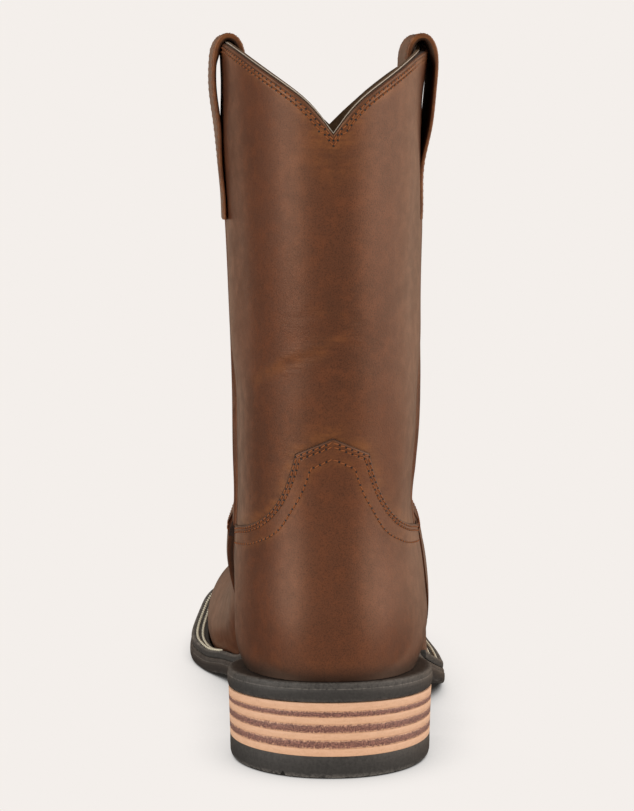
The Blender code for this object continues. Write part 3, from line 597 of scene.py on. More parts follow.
def half_sections(stations, side, wanted, lowest=0.0):
    """Points at shares of the run along half sections, from their low ends to their crowns."""
    stations = np.asarray(stations, float)
    lowest = np.broadcast_to(np.asarray(lowest, float), stations.shape)[:, None]
    share = lowest + (1 - lowest) * (1 - np.cos(np.linspace(0, np.pi, 121))) / 2
    lines = surface_point(np.broadcast_to(stations[:, None], share.shape), share, side)
    wanted = np.broadcast_to(wanted, (len(stations), np.shape(wanted)[-1]))
    runs = run_along(lines)
    return np.stack([at_places(w * run[-1], run, line) for w, run, line in zip(wanted, runs, lines)])


def whole_sections(stations, wanted, lowest=0.0):
    """Loops of points from the medial low end over the crown to the lateral low end."""
    medial = half_sections(stations, MEDIAL, wanted, lowest)
    lateral = half_sections(stations, LATERAL, wanted, lowest)
    return np.concatenate([medial, lateral[:, -2::-1]], axis=1)


# Meshes

def grid_faces(index):
    """Quads between the neighbouring rows and columns of a grid of point numbers."""
    corners = (index[:-1, :-1], index[:-1, 1:], index[1:, 1:], index[1:, :-1])
    return np.stack(corners, axis=-1).reshape(-1, 4)


def grid_normals(grid):
    """Outward normals of a grid, shared by points that lie on one another."""
    flat = grid.reshape(-1, 3)
    _, shared = np.unique(np.round(flat, 3), axis=0, return_inverse=True)
    shared = shared.reshape(-1)
    corners = grid_faces(np.arange(len(flat)).reshape(grid.shape[:2])).T
    a, b, c, d = corners
    face = np.cross(flat[b] - flat[d], flat[c] - flat[a])
    total = np.zeros((shared.max() + 1, 3))
    for corner in corners:
        np.add.at(total, shared[corner], face)
    return unit(total[shared]).reshape(grid.shape)


def band(first, second):
    """Quads between two rows of point numbers of the same length."""
    return grid_faces(np.stack([first, second]))


def shell(outer, inner, side_from=0, foot=True):
    """Points and faces of the closed shell between two grids, and a look for each: 0 on its outer skin."""
    rows, columns, _ = outer.shape
    near = np.arange(rows * columns).reshape(rows, columns)
    far = near + rows * columns
    faces = [grid_faces(near), grid_faces(far)[:, ::-1], band(far[0], near[0])]
    faces += [band(near[side_from:, 0], far[side_from:, 0])]
    faces += [band(far[side_from:, -1], near[side_from:, -1])]
    if foot:
        faces.append(band(near[-1], far[-1]))
    points = np.vstack([outer.reshape(-1, 3), inner.reshape(-1, 3)])
    looks = np.concatenate([np.full(len(group), min(number, 1)) for number, group in enumerate(faces)])
    return points, np.vstack(faces), looks


def ring_walls(count, size):
    """Point numbers of a count of rings of one size, and the quads between them."""
    index = np.arange(count * size).reshape(count, size)
    return index, [list(face) for face in grid_faces(np.hstack([index, index[:, :1]]))]


def bar_faces(count, size):
    """Faces of a closed bar through rings of points, with flat ends."""
    index, faces = ring_walls(count, size)
    return faces + [list(index[0][::-1]), list(index[-1])]


def waisted(points):
    """Draws in the boot's waist beside the heel, and lifts the inner side of its arch."""
    points = np.array(points, float)
    x, y, z = points.T
    inner = x < 0
    narrow = ramp(y, *WAIST_FROM) * (1 - ramp(y, *WAIST_TO))
    narrow *= np.where(inner, 1 - ramp(z, *WAIST_TOP_MEDIAL), 1 - ramp(z, *WAIST_TOP_LATERAL))
    points[:, 0] -= np.where(inner, WAIST_NARROWING_MEDIAL, WAIST_NARROWING_LATERAL) * x * narrow
    along = ramp(y, *ARCH_FROM) * (1 - ramp(y, *ARCH_TO))
    points[:, 2] += ARCH_LIFT * along * ramp(x, *ARCH_ACROSS) * (1 - ramp(z, *ARCH_TOP))
    return points


def in_part(points):
    """Places on the last as metres in the part's frame."""
    return ((points + LAST_TO_PART) * MM).tolist()


def link(name, data):
    """A new object of the scene."""
    made = bpy.data.objects.new(name, data)
    bpy.context.scene.collection.objects.link(made)
    return made


def make_piece(name, points, faces, looks, replaces=(), face_looks=None, layers=None, sharp=42.0):
    """A mesh piece of the boot with welded points, smooth shading and sharp edges where it turns."""
    mesh = bpy.data.meshes.new(name)
    faces = [[int(v) for v in face] for face in faces]
    mesh.from_pydata(in_part(waisted(points)), [], faces)
    for look in looks:
        mesh.materials.append(look)
    if face_looks is not None:
        mesh.polygons.foreach_set("material_index", np.asarray(face_looks, np.int32))
    for layer, values in (layers or {}).items():
        made = mesh.attributes.new(layer, "FLOAT", "POINT")
        made.data.foreach_set("value", np.asarray(values, np.float32).ravel())
    shape = bmesh.new()
    shape.from_mesh(mesh)
    bmesh.ops.remove_doubles(shape, verts=shape.verts, dist=0.000002)
    bmesh.ops.dissolve_degenerate(shape, edges=shape.edges, dist=0.000001)
    bmesh.ops.recalc_face_normals(shape, faces=shape.faces)
    shape.to_mesh(mesh)
    shape.free()
    mesh.shade_smooth()
    mesh.set_sharp_from_angle(angle=math.radians(sharp))
    piece = link(name, mesh)
    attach(piece, "root")
    if replaces:
        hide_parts(*replaces)
    return piece


def sweep(name, rings, look, replaces, layers, sharp=42.0):
    """A closed bar through rings of points, with flat ends."""
    faces = bar_faces(*rings.shape[:2])
    return make_piece(name, rings.reshape(-1, 3), faces, [look], replaces, None, layers, sharp)


def slab(name, rings, look, replaces, layers=None, sharp=42.0):
    """A solid from rings of points listed from the bottom up, all with the same count."""
    count = len(rings[0])
    index, faces = ring_walls(len(rings), count)
    for ring, turn in ((index[0], -1), (index[-1], 1)):
        for j in range(count // 2 - 1):
            faces.append([ring[j], ring[j + 1], ring[count - 2 - j], ring[count - 1 - j]][::turn])
    return make_piece(name, np.vstack(rings), faces, [look], replaces, None, layers, sharp)


# Materials

class Look:
    """A material, with short calls for the nodes that it is made of."""

    def __init__(self, name, **constants):
        self.material = bpy.data.materials.new(name)
        self.material.use_nodes = True
        self.tree = self.material.node_tree
        self.shader = self.tree.nodes["Principled BSDF"]
        self.place = self.tree.nodes.new("ShaderNodeTexCoord").outputs["Object"]
        for socket, value in constants.items():
            self.shader.inputs[socket.replace("_", " ")].default_value = value

    def put(self, socket, value):
        if isinstance(value, bpy.types.NodeSocket):
            self.tree.links.new(value, socket)
        elif isinstance(value, tuple) and socket.type == "RGBA":
            socket.default_value = (*value, 1.0)
        else:
            socket.default_value = value

    def to(self, socket, value):
        self.put(self.shader.inputs[socket], value)

    def node(self, kind, **sockets):
        """A new node with values or links on its named sockets."""
        made = self.tree.nodes.new("ShaderNode" + kind)
        for socket, value in sockets.items():
            self.put(made.inputs[socket], value)
        return made

    def noise(self, scale, detail=3.0, roughness=0.55, stretch=None):
        place = self.place
        if stretch:
            place = self.node("Mapping", Vector=place, Scale=stretch).outputs["Vector"]
        made = self.node("TexNoise", Vector=place, Scale=scale, Detail=detail, Roughness=roughness)
        return made.outputs["Fac"]

    def cells(self, scale):
        return self.node("TexVoronoi", Vector=self.place, Scale=scale).outputs["Distance"]

    def layer(self, name):
        made = self.node("Attribute")
        made.attribute_name = name
        return made.outputs["Fac"]

    def math(self, operation, first, second=0.0):
        made = self.node("Math")
        made.operation = operation
        self.put(made.inputs[0], first)
        self.put(made.inputs[1], second)
        return made.outputs[0]

    def times(self, first, second):
        return self.math("MULTIPLY", first, second)

    def plus(self, first, second):
        return self.math("ADD", first, second)

    def away(self, value, centre):
        """How far a value is from a centre."""
        return self.math("ABSOLUTE", self.math("SUBTRACT", value, centre))

    def span(self, value, low, high, first=0.0, last=1.0):
        """The value's place between low and high, eased, as a number from first to last."""
        made = self.node("MapRange")
        made.interpolation_type = "SMOOTHSTEP"
        for socket, number in zip(made.inputs[:5], (value, low, high, first, last)):
            self.put(socket, number)
        return made.outputs["Result"]

    def mix(self, share, first, second):
        made = self.node("Mix")
        made.data_type = "RGBA"
        self.put(made.inputs["Factor"], share)
        self.put(made.inputs[6], first)
        self.put(made.inputs[7], second)
        return made.outputs[2]

    def bump(self, height, distance, strength, under=None):
        made = self.node("Bump", Height=height, Distance=distance, Strength=strength)
        if under is not None:
            self.put(made.inputs["Normal"], under)
        return made.outputs["Normal"]


def leather_look(name, sewn_rows=()):
    """Waxed leather that turns lighter where it is pulled and darker under a point layer of painted shade and
    burnish, with troughs along its sewn rows.
    """
    look = Look(name, Specular_IOR_Level=0.32, Specular_Tint=GLOSS_TINT)
    cloud = look.noise(24.0, 4.0, 0.55)
    mottle = look.noise(150.0, 6.0, 0.62)
    speck = look.noise(1900.0, 2.0, 0.6)
    streak = look.noise(260.0, 5.0, 0.6, (0.35, 0.35, 1.7))
    shade_and_burnish = look.layer("shade_and_burnish")
    tone = look.mix(look.span(cloud, 0.36, 0.64), LEATHER_DARK, LEATHER_MID)
    tone = look.mix(look.times(look.span(mottle, 0.42, 0.68), 0.65), tone, LEATHER_WARM)
    tone = look.mix(look.times(look.span(speck, 0.42, 0.7), 0.42), tone, LEATHER_DARKEST_AND_SHADE)
    patchy = look.times(look.span(mottle, 0.25, 0.62, 0.3, 1.0), look.span(streak, 0.3, 0.62, 0.25, 1.0))
    tone = look.mix(look.times(look.layer("pull"), patchy), tone, LEATHER_PULL)
    # The point layer darkens the leather toward the darkest tone: painted shade in gaps, under the straps and
    # beside seams, with some burnish
    look.to("Base Color", look.mix(shade_and_burnish, tone, LEATHER_DARKEST_AND_SHADE))
    gloss = look.span(mottle, 0.25, 0.75, 0.46, 0.38)
    look.to("Roughness", look.plus(gloss, look.times(shade_and_burnish, 0.3)))
    grain = look.plus(look.times(look.cells(1700.0), 0.5), look.times(speck, 0.5))
    normal = look.bump(grain, 0.00008, 0.5)
    normal = look.bump(look.noise(190.0, 3.0, 0.5), 0.0002, 0.25, normal)
    normal = look.bump(look.times(streak, look.layer("wrinkle")), 0.0004, 0.5, normal)
    for row in sewn_rows:
        trough = look.span(look.away(look.layer("rim"), row), 0.0, 0.7)
        normal = look.bump(trough, 0.0002, 0.6, normal)
    look.to("Normal", normal)
    return look.material


def plain_look(name, colour, second, roughness, scale=900.0, depth=0.00006, **constants):
    """A dull surface with two mixed tones and a fine bump."""
    look = Look(name, Roughness=roughness, **constants)
    fine = look.noise(scale, 4.0, 0.6)
    look.to("Base Color", look.mix(look.span(fine, 0.35, 0.65), colour, second))
    look.to("Normal", look.bump(fine, depth, 0.6))
    return look.material


def rubber_look(name):
    """Black rubber with scuffs, greyer along its edges, brown where the leather has stained it and darker
    brown where shade is painted on the outsole's front.
    """
    look = Look(name, Specular_IOR_Level=0.25)
    fine = look.noise(900.0, 5.0, 0.65)
    scuff = look.noise(220.0, 6.0, 0.7)
    tone = look.mix(look.span(fine, 0.3, 0.7), RUBBER_DARK, RUBBER_GREY)
    tone = look.mix(look.layer("stain_and_shade"), tone, RUBBER_STAIN_AND_SHADE)
    worn = look.times(look.layer("wear"), look.span(look.plus(fine, scuff), 0.75, 1.2))
    look.to("Base Color", look.mix(worn, tone, RUBBER_WORN))
    look.to("Roughness", look.span(scuff, 0.3, 0.7, 0.66, 0.56))
    look.to("Normal", look.bump(fine, 0.00009, 0.7))
    return look.material


def tan_lift_look():
    """Raw tan leather with streaks along the lift and fine specks."""
    look = Look("tan_lift", Roughness=0.62)
    streak = look.noise(260.0, 5.0, 0.6, (1.0, 1.0, 4.0))
    fine = look.noise(1900.0, 3.0, 0.6)
    tone = look.mix(look.span(streak, 0.3, 0.7), TAN_DEEP, TAN_PALE)
    look.to("Base Color", look.mix(look.times(look.span(fine, 0.5, 0.75), 0.35), tone, TAN_SPECK))
    look.to("Normal", look.bump(look.plus(streak, fine), 0.0001, 0.5))
    return look.material


def dark_lift_look():
    """A dark board whose edges fray into the tan lifts above and below it."""
    look = Look("dark_lift", Roughness=0.66)
    speck = look.noise(2300.0, 3.0, 0.6)
    patch = look.noise(900.0, 3.0, 0.5)
    tone = look.mix(look.span(speck, 0.40, 0.62), BOARD_DARK, BOARD_RED)
    frayed = look.times(look.plus(look.plus(speck, patch), -1.0), 0.62)
    light = look.span(look.plus(look.away(look.layer("across"), 0.5), frayed), 0.26, 0.56)
    look.to("Base Color", look.mix(light, tone, TAN_DEEP))
    look.to("Normal", look.bump(speck, 0.00012, 0.6))
    return look.material


def paper_look(name):
    """Pale paper that shines in one even tone, whatever light falls on it."""
    look = Look(name, Roughness=1.0, Specular_IOR_Level=0.0)
    look.to("Base Color", BLACK)
    look.to("Emission Color", PAPER)
    look.to("Emission Strength", 1.0)
    return look


UPPER_LOOK = leather_look("upper_leather", COLLAR_ROWS)
COUNTER_LOOK = leather_look("counter_leather", COUNTER_ROWS)
VAMP_LOOK = leather_look("vamp_leather", VAMP_ROWS)
TRIM_LOOK = leather_look("trim_leather")
EDGE_LOOK = plain_look("cut_edge", (0.030, 0.013, 0.008), (0.065, 0.030, 0.018), 0.6)
# The lining's faces are painted dark brown as shade; the band along its rim keeps a pale tone
LINING_SHADE_LOOK = plain_look("lining_painted_shade", (0.085, 0.045, 0.020), (0.115, 0.064, 0.030), 0.8, 420.0, 0.0001,
                         Specular_IOR_Level=0.12)
RIM_LOOK = plain_look("lining_edge", (0.46, 0.385, 0.305), (0.54, 0.46, 0.37), 0.6, 420.0, 0.0001)
INSOLE_LOOK = plain_look("insole_board", (0.40, 0.28, 0.17), (0.47, 0.34, 0.22), 0.7, 300.0, 0.0001)
RUBBER_LOOK = rubber_look("rubber")
WELT_LOOK = rubber_look("welt_black")
TAN_LOOK = tan_lift_look()
DARK_LOOK = dark_lift_look()
THREAD_LOOK = plain_look("thread_brown", (0.23, 0.072, 0.022), (0.30, 0.10, 0.034), 0.85, 2600.0, 0.00004,
                         Specular_IOR_Level=0.12)
CREAM_LOOK = plain_look("thread_cream", (0.60, 0.53, 0.38), (0.74, 0.68, 0.52), 0.6, 2600.0, 0.00004)
# Near-black painted shade for needle holes and for the walls of the heel cap's tread grooves
HOLE_SHADE_LOOK = plain_look("needle_hole_shade", (0.010, 0.006, 0.004), (0.016, 0.009, 0.006), 0.8)


# Stitches

def stitch_frames(line, normals, pitch):
    """Even places along a line, about a pitch apart: centre, direction, direction across, normal."""
    run = run_along(line)
    count = max(int(round(run[-1] / pitch)), 1)
    places = (np.arange(count) + 0.5) * run[-1] / count
    along = unit(at_places(places + STITCH_AIM, run, line) - at_places(places - STITCH_AIM, run, line))
    normal = at_places(places, run, normals)
    normal = unit(normal - along * np.sum(normal * along, axis=1, keepdims=True))
    return at_places(places, run, line), along, np.cross(normal, along), normal


def stitch_shape(length, radius):
    """Points of a stitch that lies along x and dips at both ends."""
    angle = circle(STITCH_SIDES)
    rings = []
    for share, size, lift in np.array(STITCH_RINGS):
        wide, high = size * radius * np.cos(angle), lift * radius + size * radius * np.sin(angle)
        rings.append(np.column_stack([np.full(STITCH_SIDES, share * length / 2), wide, high]))
    return np.vstack(rings)


def hole_shape(radius):
    """Points of a needle hole's rim and of its bottom, in the flat beside a stitch."""
    angle = circle(STITCH_SIDES)
    size = HOLE_SIZE * radius
    rim = np.column_stack([size * np.cos(angle), size * np.sin(angle), np.full(STITCH_SIDES, HOLE_RIM)])
    return np.vstack([rim, (0.0, 0.0, HOLE_BOTTOM)])


def hole_faces():
    corners = range(STITCH_SIDES)
    walls = [[(j + 1) % STITCH_SIDES, j, STITCH_SIDES] for j in corners]
    return [list(corners)] + walls


def stitch_rows(name, rows, look, sizes, slant=0.16, holes=True):
    """All the stitches of some rows in one piece. A row is a line of points and its normals."""
    pitch, length, radius = sizes
    stitch = (stitch_shape(length, radius), bar_faces(len(STITCH_RINGS), STITCH_SIDES))
    hole = (hole_shape(radius), hole_faces())
    points, faces, looks = [], [], []
    total = 0
    for line, normals in rows:
        centre, along, across, normal = stitch_frames(line, normals, pitch)
        lean = unit(along + across * slant)
        sets = [(stitch, 0, centre, lean, np.cross(normal, lean))]
        if holes:
            sets.append((hole, 1, centre + along * pitch / 2, along, across))
        for (shape, shape_faces), number, middles, forward, sideways in sets:
            for c, t, b, n in zip(middles, forward, sideways, normal):
                points.append(c + shape[:, :1] * t + shape[:, 1:2] * b + shape[:, 2:] * n)
                faces += [[v + total for v in face] for face in shape_faces]
                looks += [number] * len(shape_faces)
                total += len(shape)
    # The needle holes take the near-black painted shade
    return make_piece(name, np.vstack(points), faces, [look, HOLE_SHADE_LOOK], (), looks, None, 70.0)


# The upper: shaft and foot in one shell, with its lining

COLUMN_SHARES = stretched(0.0, ((0.27, 40), (0.44, 10), (0.52, 16), (1.0, 26)))
SIDE_COLUMNS = len(COLUMN_SHARES) - 1
FIRST_LEVEL = 212.0
EDGE_DROPS = (0.0, 0.25, 0.55, 0.9, 1.3, 1.9, 2.6, 3.6, 5.0, 7.0)
EDGE_ROLL = (-0.85, -0.4, -0.12, 0.0, 0.0)
COLLAR_SHARES = (0.06, 0.13, 0.21, 0.3, 0.4, 0.5, 0.6, 0.7, 0.8, 0.9)
HEEL_PLACES = (0.0, 0.7, 1.6, 3.2, 5.4, 8.5, 12.0, 16.5, 22.0, 28.0, 35.0)

# Levels of the shaft: from, to, step
LEVEL_STRETCHES = ((FIRST_LEVEL, 191.0, -2.5), (190.0, 146.0, -1.2), (145.0, SEAT_Z + 2.0, -3.0))


def collar_profile():
    """Height of the lining's edge at each column: a V at the back and in front, ears between."""
    level = whole_sections([SEAT_Z - COLLAR_V_HEIGHT], COLUMN_SHARES)[0]
    x, y = level[:, 0], level[:, 1]
    back = table_curve(COLLAR_BACK_ARM)(np.abs(x))[:, 0]
    front = table_curve(COLLAR_FRONT_ARM)(np.abs(x - x[SIDE_COLUMNS]))[:, 0]
    from_seam = np.abs(y - SEAM_Y)
    height = np.where(y > SEAM_Y, front, back)
    ear = np.where(y > SEAM_Y, ramp(from_seam, 26.0, 0.0), ramp(from_seam, 10.0, 0.0))
    return height + (EAR_HEIGHT - height) * ear


COLLAR_TOP = collar_profile()


def level_loop(heights):
    """The upper's surface at a height of its own for each column."""
    shares = COLUMN_SHARES[:, None]
    medial = half_sections(SEAT_Z - heights[:SIDE_COLUMNS + 1], MEDIAL, shares)[:, 0]
    lateral = half_sections(SEAT_Z - heights[:SIDE_COLUMNS - 1:-1], LATERAL, shares)[:, 0]
    return np.concatenate([medial, lateral[-2::-1]])


def collar_slant():
    """How far below the collar's edge a line lies, for each millimetre of distance from it."""
    run = run_along(level_loop(COLLAR_TOP)[:, :2])
    slope = np.clip(np.abs(np.gradient(COLLAR_TOP, run)), 0, 1.2)
    slope[:4] = slope[-4:] = 0.75
    return np.sqrt(1 + slope ** 2)


COLLAR_SLANT = collar_slant()
LEATHER_TOP = COLLAR_TOP - LINING_RISE * COLLAR_SLANT


def upper_grid():
    """The upper's outer surface as rows of points, and the number of the row on the seat."""
    collar = [level_loop(LEATHER_TOP - COLLAR_SLANT * distance) for distance in EDGE_DROPS]
    lowest = LEATHER_TOP - COLLAR_SLANT * EDGE_DROPS[-1]
    collar += [level_loop(lowest - share * (lowest - FIRST_LEVEL)) for share in COLLAR_SHARES]
    heights = np.concatenate([np.arange(*stretch) for stretch in LEVEL_STRETCHES])
    foot = np.arange(46.0, FEATHER_TOE_ROUND[0], 5.0) - SEAT_Y
    toe = toward_end(FEATHER_TOE_ROUND, 15) - SEAT_Y
    stations = np.concatenate([SEAT_Z - heights, HEEL_PLACES, foot, toe])
    seat_row = len(collar) + len(heights)
    return np.concatenate([np.array(collar), whole_sections(stations, COLUMN_SHARES)]), seat_row


def side_fullness(x, y, z):
    """How far the shaft's sides stand out: over the seam low down, below the straps, at the outer ear."""
    inner = np.asarray(x) < 0
    ahead = ramp(y, *FULL_SEAM_STEP)
    rear = ramp(y, *FULL_REAR) * ramp(z, *FULL_ABOVE_ANKLE)
    fore = 1 - ramp(y, *FULL_FORE)
    over_vamp = z - VAMP_CURVE(y)[..., 0]
    inner_clear = VAMP_FULLNESS + (1 - VAMP_FULLNESS) * ramp(over_vamp, *FULL_OVER_VAMP_MEDIAL)
    inner_clear = np.where(over_vamp > -1.0, inner_clear, 0.0)
    clear = np.where(inner, inner_clear, ramp(over_vamp, *FULL_OVER_VAMP_LATERAL))
    top = np.where(inner, 1 - ramp(z, *FULL_TOP_MEDIAL), 1 - ramp(z, *FULL_TOP_LATERAL))
    flare = np.where(inner, 0.0, EAR_FLARE) * ramp(z, *FLARE_HEIGHT) * bell(y - SEAM_Y, FLARE_REACH)
    return PIPING_PROUD * (rear * (1 - ahead) + fore * ahead) * clear * top + flare


def shaft_shift(grid):
    """How far the shaft's leather stands out or in: creases, dents and slow waves."""
    x, y, z = np.moveaxis(grid, -1, 0)
    at_back = ramp(y, *BACK_OF_SHAFT)
    shift = np.zeros(x.shape)
    for line, width, depth in CREASES:
        shift -= depth * bell(flat_distance(x, z, line), width) * at_back
    for dent_x, dent_z, wide, tall, depth in DENTS:
        shift -= depth * bell(x - dent_x, wide) * bell(z - dent_z, tall) * at_back
    on_shaft = ramp(z, *WAVES_FROM) * ramp(z, *WAVES_TO)
    waves = np.sin(z / 23.0 + x / 21.0) * np.sin(y / 26.0 - z / 37.0 + 0.7)
    waves += 0.5 * np.sin(z / 14.0 - y / 19.0)
    return shift + WAVE_HEIGHT * waves * on_shaft + side_fullness(x, y, z)


def upper_pull(grid, rim):
    """Where the shaft's leather is pulled lighter, and where it is finely wrinkled."""
    x, y, z = np.moveaxis(grid, -1, 0)
    run = run_along(grid)
    halo = flat_distance(np.minimum(run, run[:, -1:] - run), z, COUNTER_LINE[::8])
    pull = 0.60 * bell(halo, 3.2) + 0.16 * bell(halo, 10.0) + 0.75 * bell(rim - 2.4, 2.4)
    at_back = ramp(y, *BACK_OF_SHAFT)
    valley = np.hypot(x, (z - COLLAR_V_HEIGHT + 3.0) * 0.8)
    pull += 0.55 * bell(valley, 11.0) * at_back
    wrinkle = 0.5 * bell(halo, 9.0)
    for line, width, depth in CREASES:
        away = flat_distance(x, z, line)
        pull += 1.2 * abs(depth) * bell(away, 0.8 * width) * at_back
        wrinkle += 0.8 * bell(away, 4.5) * at_back
    return pull, np.clip(wrinkle, 0, 1)


def upper_shade_and_burnish(grid, rim):
    """Painted shade and burnish on the upper: darker along the side seam, a painted shadow line in the gap at
    the collar's edge, and painted shade under the straps.
    """
    x, y, z = np.moveaxis(grid, -1, 0)
    seam = bell(y - SEAM_Y + 1.6, 1.7) * (1 - ramp(z, 140.0, 180.0))
    edge = 0.7 * bell(rim - 0.95, 0.22) + 0.35 * bell(rim, 0.5)
    strap_back = np.where(x < 0, 60.0, 67.0)
    covered = ramp(y, strap_back, strap_back + 3.0) * (1 - ramp(y, 80.0, 83.0))
    covered *= ramp(z, STRAP_FOOT_HEIGHT + 2.0, STRAP_FOOT_HEIGHT + 6.0)
    return 0.95 * seam + edge + covered


def leather_layers(rim, pull, shade_and_burnish, wrinkle=0.0, shade_inside=0.0):
    """Point layers of a leather shell: values on its outer skin, and even ones on its inner skin."""
    even = np.zeros(rim.shape)
    pairs = {
        "rim": (rim, even + 50.0),
        "pull": (np.clip(pull, 0, 1), even),
        "shade_and_burnish": (np.clip(shade_and_burnish, 0, 1), even + shade_inside),
        "wrinkle": (even + wrinkle, even),
    }
    return {name: np.stack(pair) for name, pair in pairs.items()}


def set_on_feather(skin, rows, rise=0.0):
    """Puts both low ends of some rows of a skin on the feather line."""
    for end in (0, -1):
        skin[rows, end, 2] = feather_height(skin[rows, end, 1]) + rise


def make_upper():
    grid, seat_row = upper_grid()
    normal = grid_normals(grid)
    below = (LEATHER_TOP - grid[..., 2]) / COLLAR_SLANT
    rim = np.maximum(below, 0)
    rolled = np.interp(rim, EDGE_DROPS[:5], EDGE_ROLL)
    outer = grid + normal * (shaft_shift(grid) + rolled)[..., None]
    inner = grid - normal * LEATHER_DEPTH
    for skin in (outer, inner):
        skin[0, :, 2] = LEATHER_TOP
        set_on_feather(skin, slice(seat_row, None))
    points, faces, looks = shell(outer, inner, seat_row, foot=False)
    pull, wrinkle = upper_pull(grid, below)
    layers = leather_layers(rim, pull, upper_shade_and_burnish(grid, rim), wrinkle)
    make_piece("upper_leather", points, faces, [UPPER_LOOK, EDGE_LOOK], ["upper"], looks, layers)
    make_lining(grid, normal, seat_row)


def make_lining(grid, normal, seat_row):
    """A thinner shell inside the upper, with its edge a little above the leather's; its faces are painted
    dark as shade, with a pale band along the rim.
    """
    rows = sorted(set(range(0, len(grid), 2)) | {0, 1, 2, 3, seat_row, len(grid) - 1})
    seat = rows.index(seat_row)
    grid, normal = grid[rows][:, ::2], normal[rows][:, ::2]
    skins = [grid - normal * depth for depth in (LINING_DEPTH, WALL)]
    for skin in skins:
        skin[0, :, 2] = COLLAR_TOP[::2]
        skin[1, :, 2] = COLLAR_TOP[::2] - LINING_RIM_DEPTH
        set_on_feather(skin, slice(seat, None), 0.1)
    points, faces, _ = shell(*skins, seat, foot=False)
    looks = np.zeros(len(faces), int)
    looks[:grid.shape[1] - 1] = 1
    make_piece("lining", points, faces, [LINING_SHADE_LOOK, RIM_LOOK], face_looks=looks)


def collar_stitches():
    rows = []
    for distance in COLLAR_ROWS:
        height = LEATHER_TOP - COLLAR_SLANT * distance
        line = level_loop(height)
        normal = np.cross(level_loop(height + 2.0) - line, np.gradient(line, axis=0))
        outward = line[:, :2] - np.array([0.0, 74.0])
        normal = unit(normal * np.sign(np.sum(normal[:, :2] * outward, axis=1, keepdims=True)))
        rows.append((line + normal * THREAD_LIFT, normal))
    stitch_rows("collar_stitches", rows, THREAD_LOOK, COLLAR_STITCH)


# The heel counter, in distance round the leg and height

GIRTH_HEIGHTS = np.arange(SEAT_Z - 8.0, 142.0, 1.0)
GIRTHS = np.linspace(0, 84.0, 169)


def girth_table(side):
    """The heel's x and y by height and distance round the leg from the back seam."""
    back = BACK_CURVE(GIRTH_HEIGHTS)[:, :1]
    ys = back + 0.02 + np.linspace(0, 1, 90) ** 2 * (SEAM_Y + 16.0 - back)
    xs = surface_x(ys, GIRTH_HEIGHTS[:, None], side)
    xs[:, 0] = 0.0
    lines = np.stack([xs, ys], axis=-1)
    return np.stack([at_places(GIRTHS, run, line) for run, line in zip(run_along(lines), lines)])


GIRTH_TABLES = {side: girth_table(side) for side in (MEDIAL, LATERAL)}


def heel_surface(girth, height, side):
    """The point of the heel at a distance round the leg and a height."""
    girth, height = np.broadcast_arrays(np.asarray(girth, float), np.asarray(height, float))
    row = np.clip(height - GIRTH_HEIGHTS[0], 0, len(GIRTH_HEIGHTS) - 1.001)
    column = np.clip(girth / GIRTHS[1], 0, len(GIRTHS) - 1.001)
    i, j = row.astype(int), column.astype(int)
    u, v = (row - i)[..., None], (column - j)[..., None]
    table = GIRTH_TABLES[side]
    low = table[i, j] * (1 - v) + table[i, j + 1] * v
    high = table[i + 1, j] * (1 - v) + table[i + 1, j + 1] * v
    return np.concatenate([low * (1 - u) + high * u, height[..., None]], axis=-1)


def heel_normal(girth, height, side):
    here = heel_surface(girth, height, side)
    round_leg = heel_surface(girth + 0.8, height, side) - here
    up = heel_surface(girth, height + 0.8, side) - here
    return unit(side * np.cross(round_leg, up))


def side_girth(height, side, y):
    """Distance round the leg at which the surface reaches a place along the foot."""
    reach = np.array([np.interp(y, row, GIRTHS) for row in GIRTH_TABLES[side][..., 1]])
    return np.interp(height, GIRTH_HEIGHTS, reach)


def bent_line(table):
    """A line in small steps: straight from the first place to the second, then one smooth curve."""
    table = np.array(table, float)
    run = run_along(table[1:])
    curve = natural_spline(run, table[1:])(np.linspace(0, run[-1], 300))
    return np.vstack([np.linspace(table[0], table[1], 50)[:-1], curve])


COUNTER_LINE = bent_line(COUNTER_EDGE)


def overlay_rise(distance):
    """Height of an overlay above the upper at a distance from its cut edge."""
    in_edge = np.clip(1 - distance / OVERLAY_EDGE_ROUND, 0, 1)
    return OVERLAY_EDGE_RISE + (GAP + OVERLAY - OVERLAY_EDGE_RISE) * np.sqrt(1 - in_edge ** 2)


def counter_fall(y, medial):
    """Share of its thickness that the counter keeps at y, as it thins out towards the side seam."""
    taper = np.where(medial, COUNTER_TAPER_MEDIAL, COUNTER_TAPER_LATERAL)
    return COUNTER_THIN_SHARE + (1 - COUNTER_THIN_SHARE) * ramp(y, COUNTER_LIMIT, COUNTER_LIMIT - taper)


def counter_half(side):
    """Half of the counter as columns from the back seam to the side: points, distances round, heights."""
    corner_girth, corner_height = COUNTER_EDGE[1]
    corner = corner_girth / side_girth(corner_height, side, COUNTER_LIMIT)
    even = stretched(0.0, ((0.36, 29), (1.0, 33)))
    shares = np.unique(np.round(np.append(even, corner), 4))
    top = np.full(len(shares), 100.0)
    low = np.full(len(shares), SEAT_Z)
    for _ in range(12):
        top = np.interp(shares * side_girth(top, side, COUNTER_LIMIT), *COUNTER_LINE.T)
        low = feather_height(heel_surface(shares * side_girth(low, side, COUNTER_LIMIT), low, side)[..., 1])
    down = (0.0, 0.3, 0.7, 1.2, 1.8, 2.6, 3.6, 5.0, 7.0)
    rest = np.linspace(0, 1, 44)[1:]
    heights = np.array([top - d for d in down] + [(top - down[-1]) * (1 - r) + low * r for r in rest])
    girth = shares * side_girth(heights, side, COUNTER_LIMIT)
    return heel_surface(girth, heights, side), girth, heights


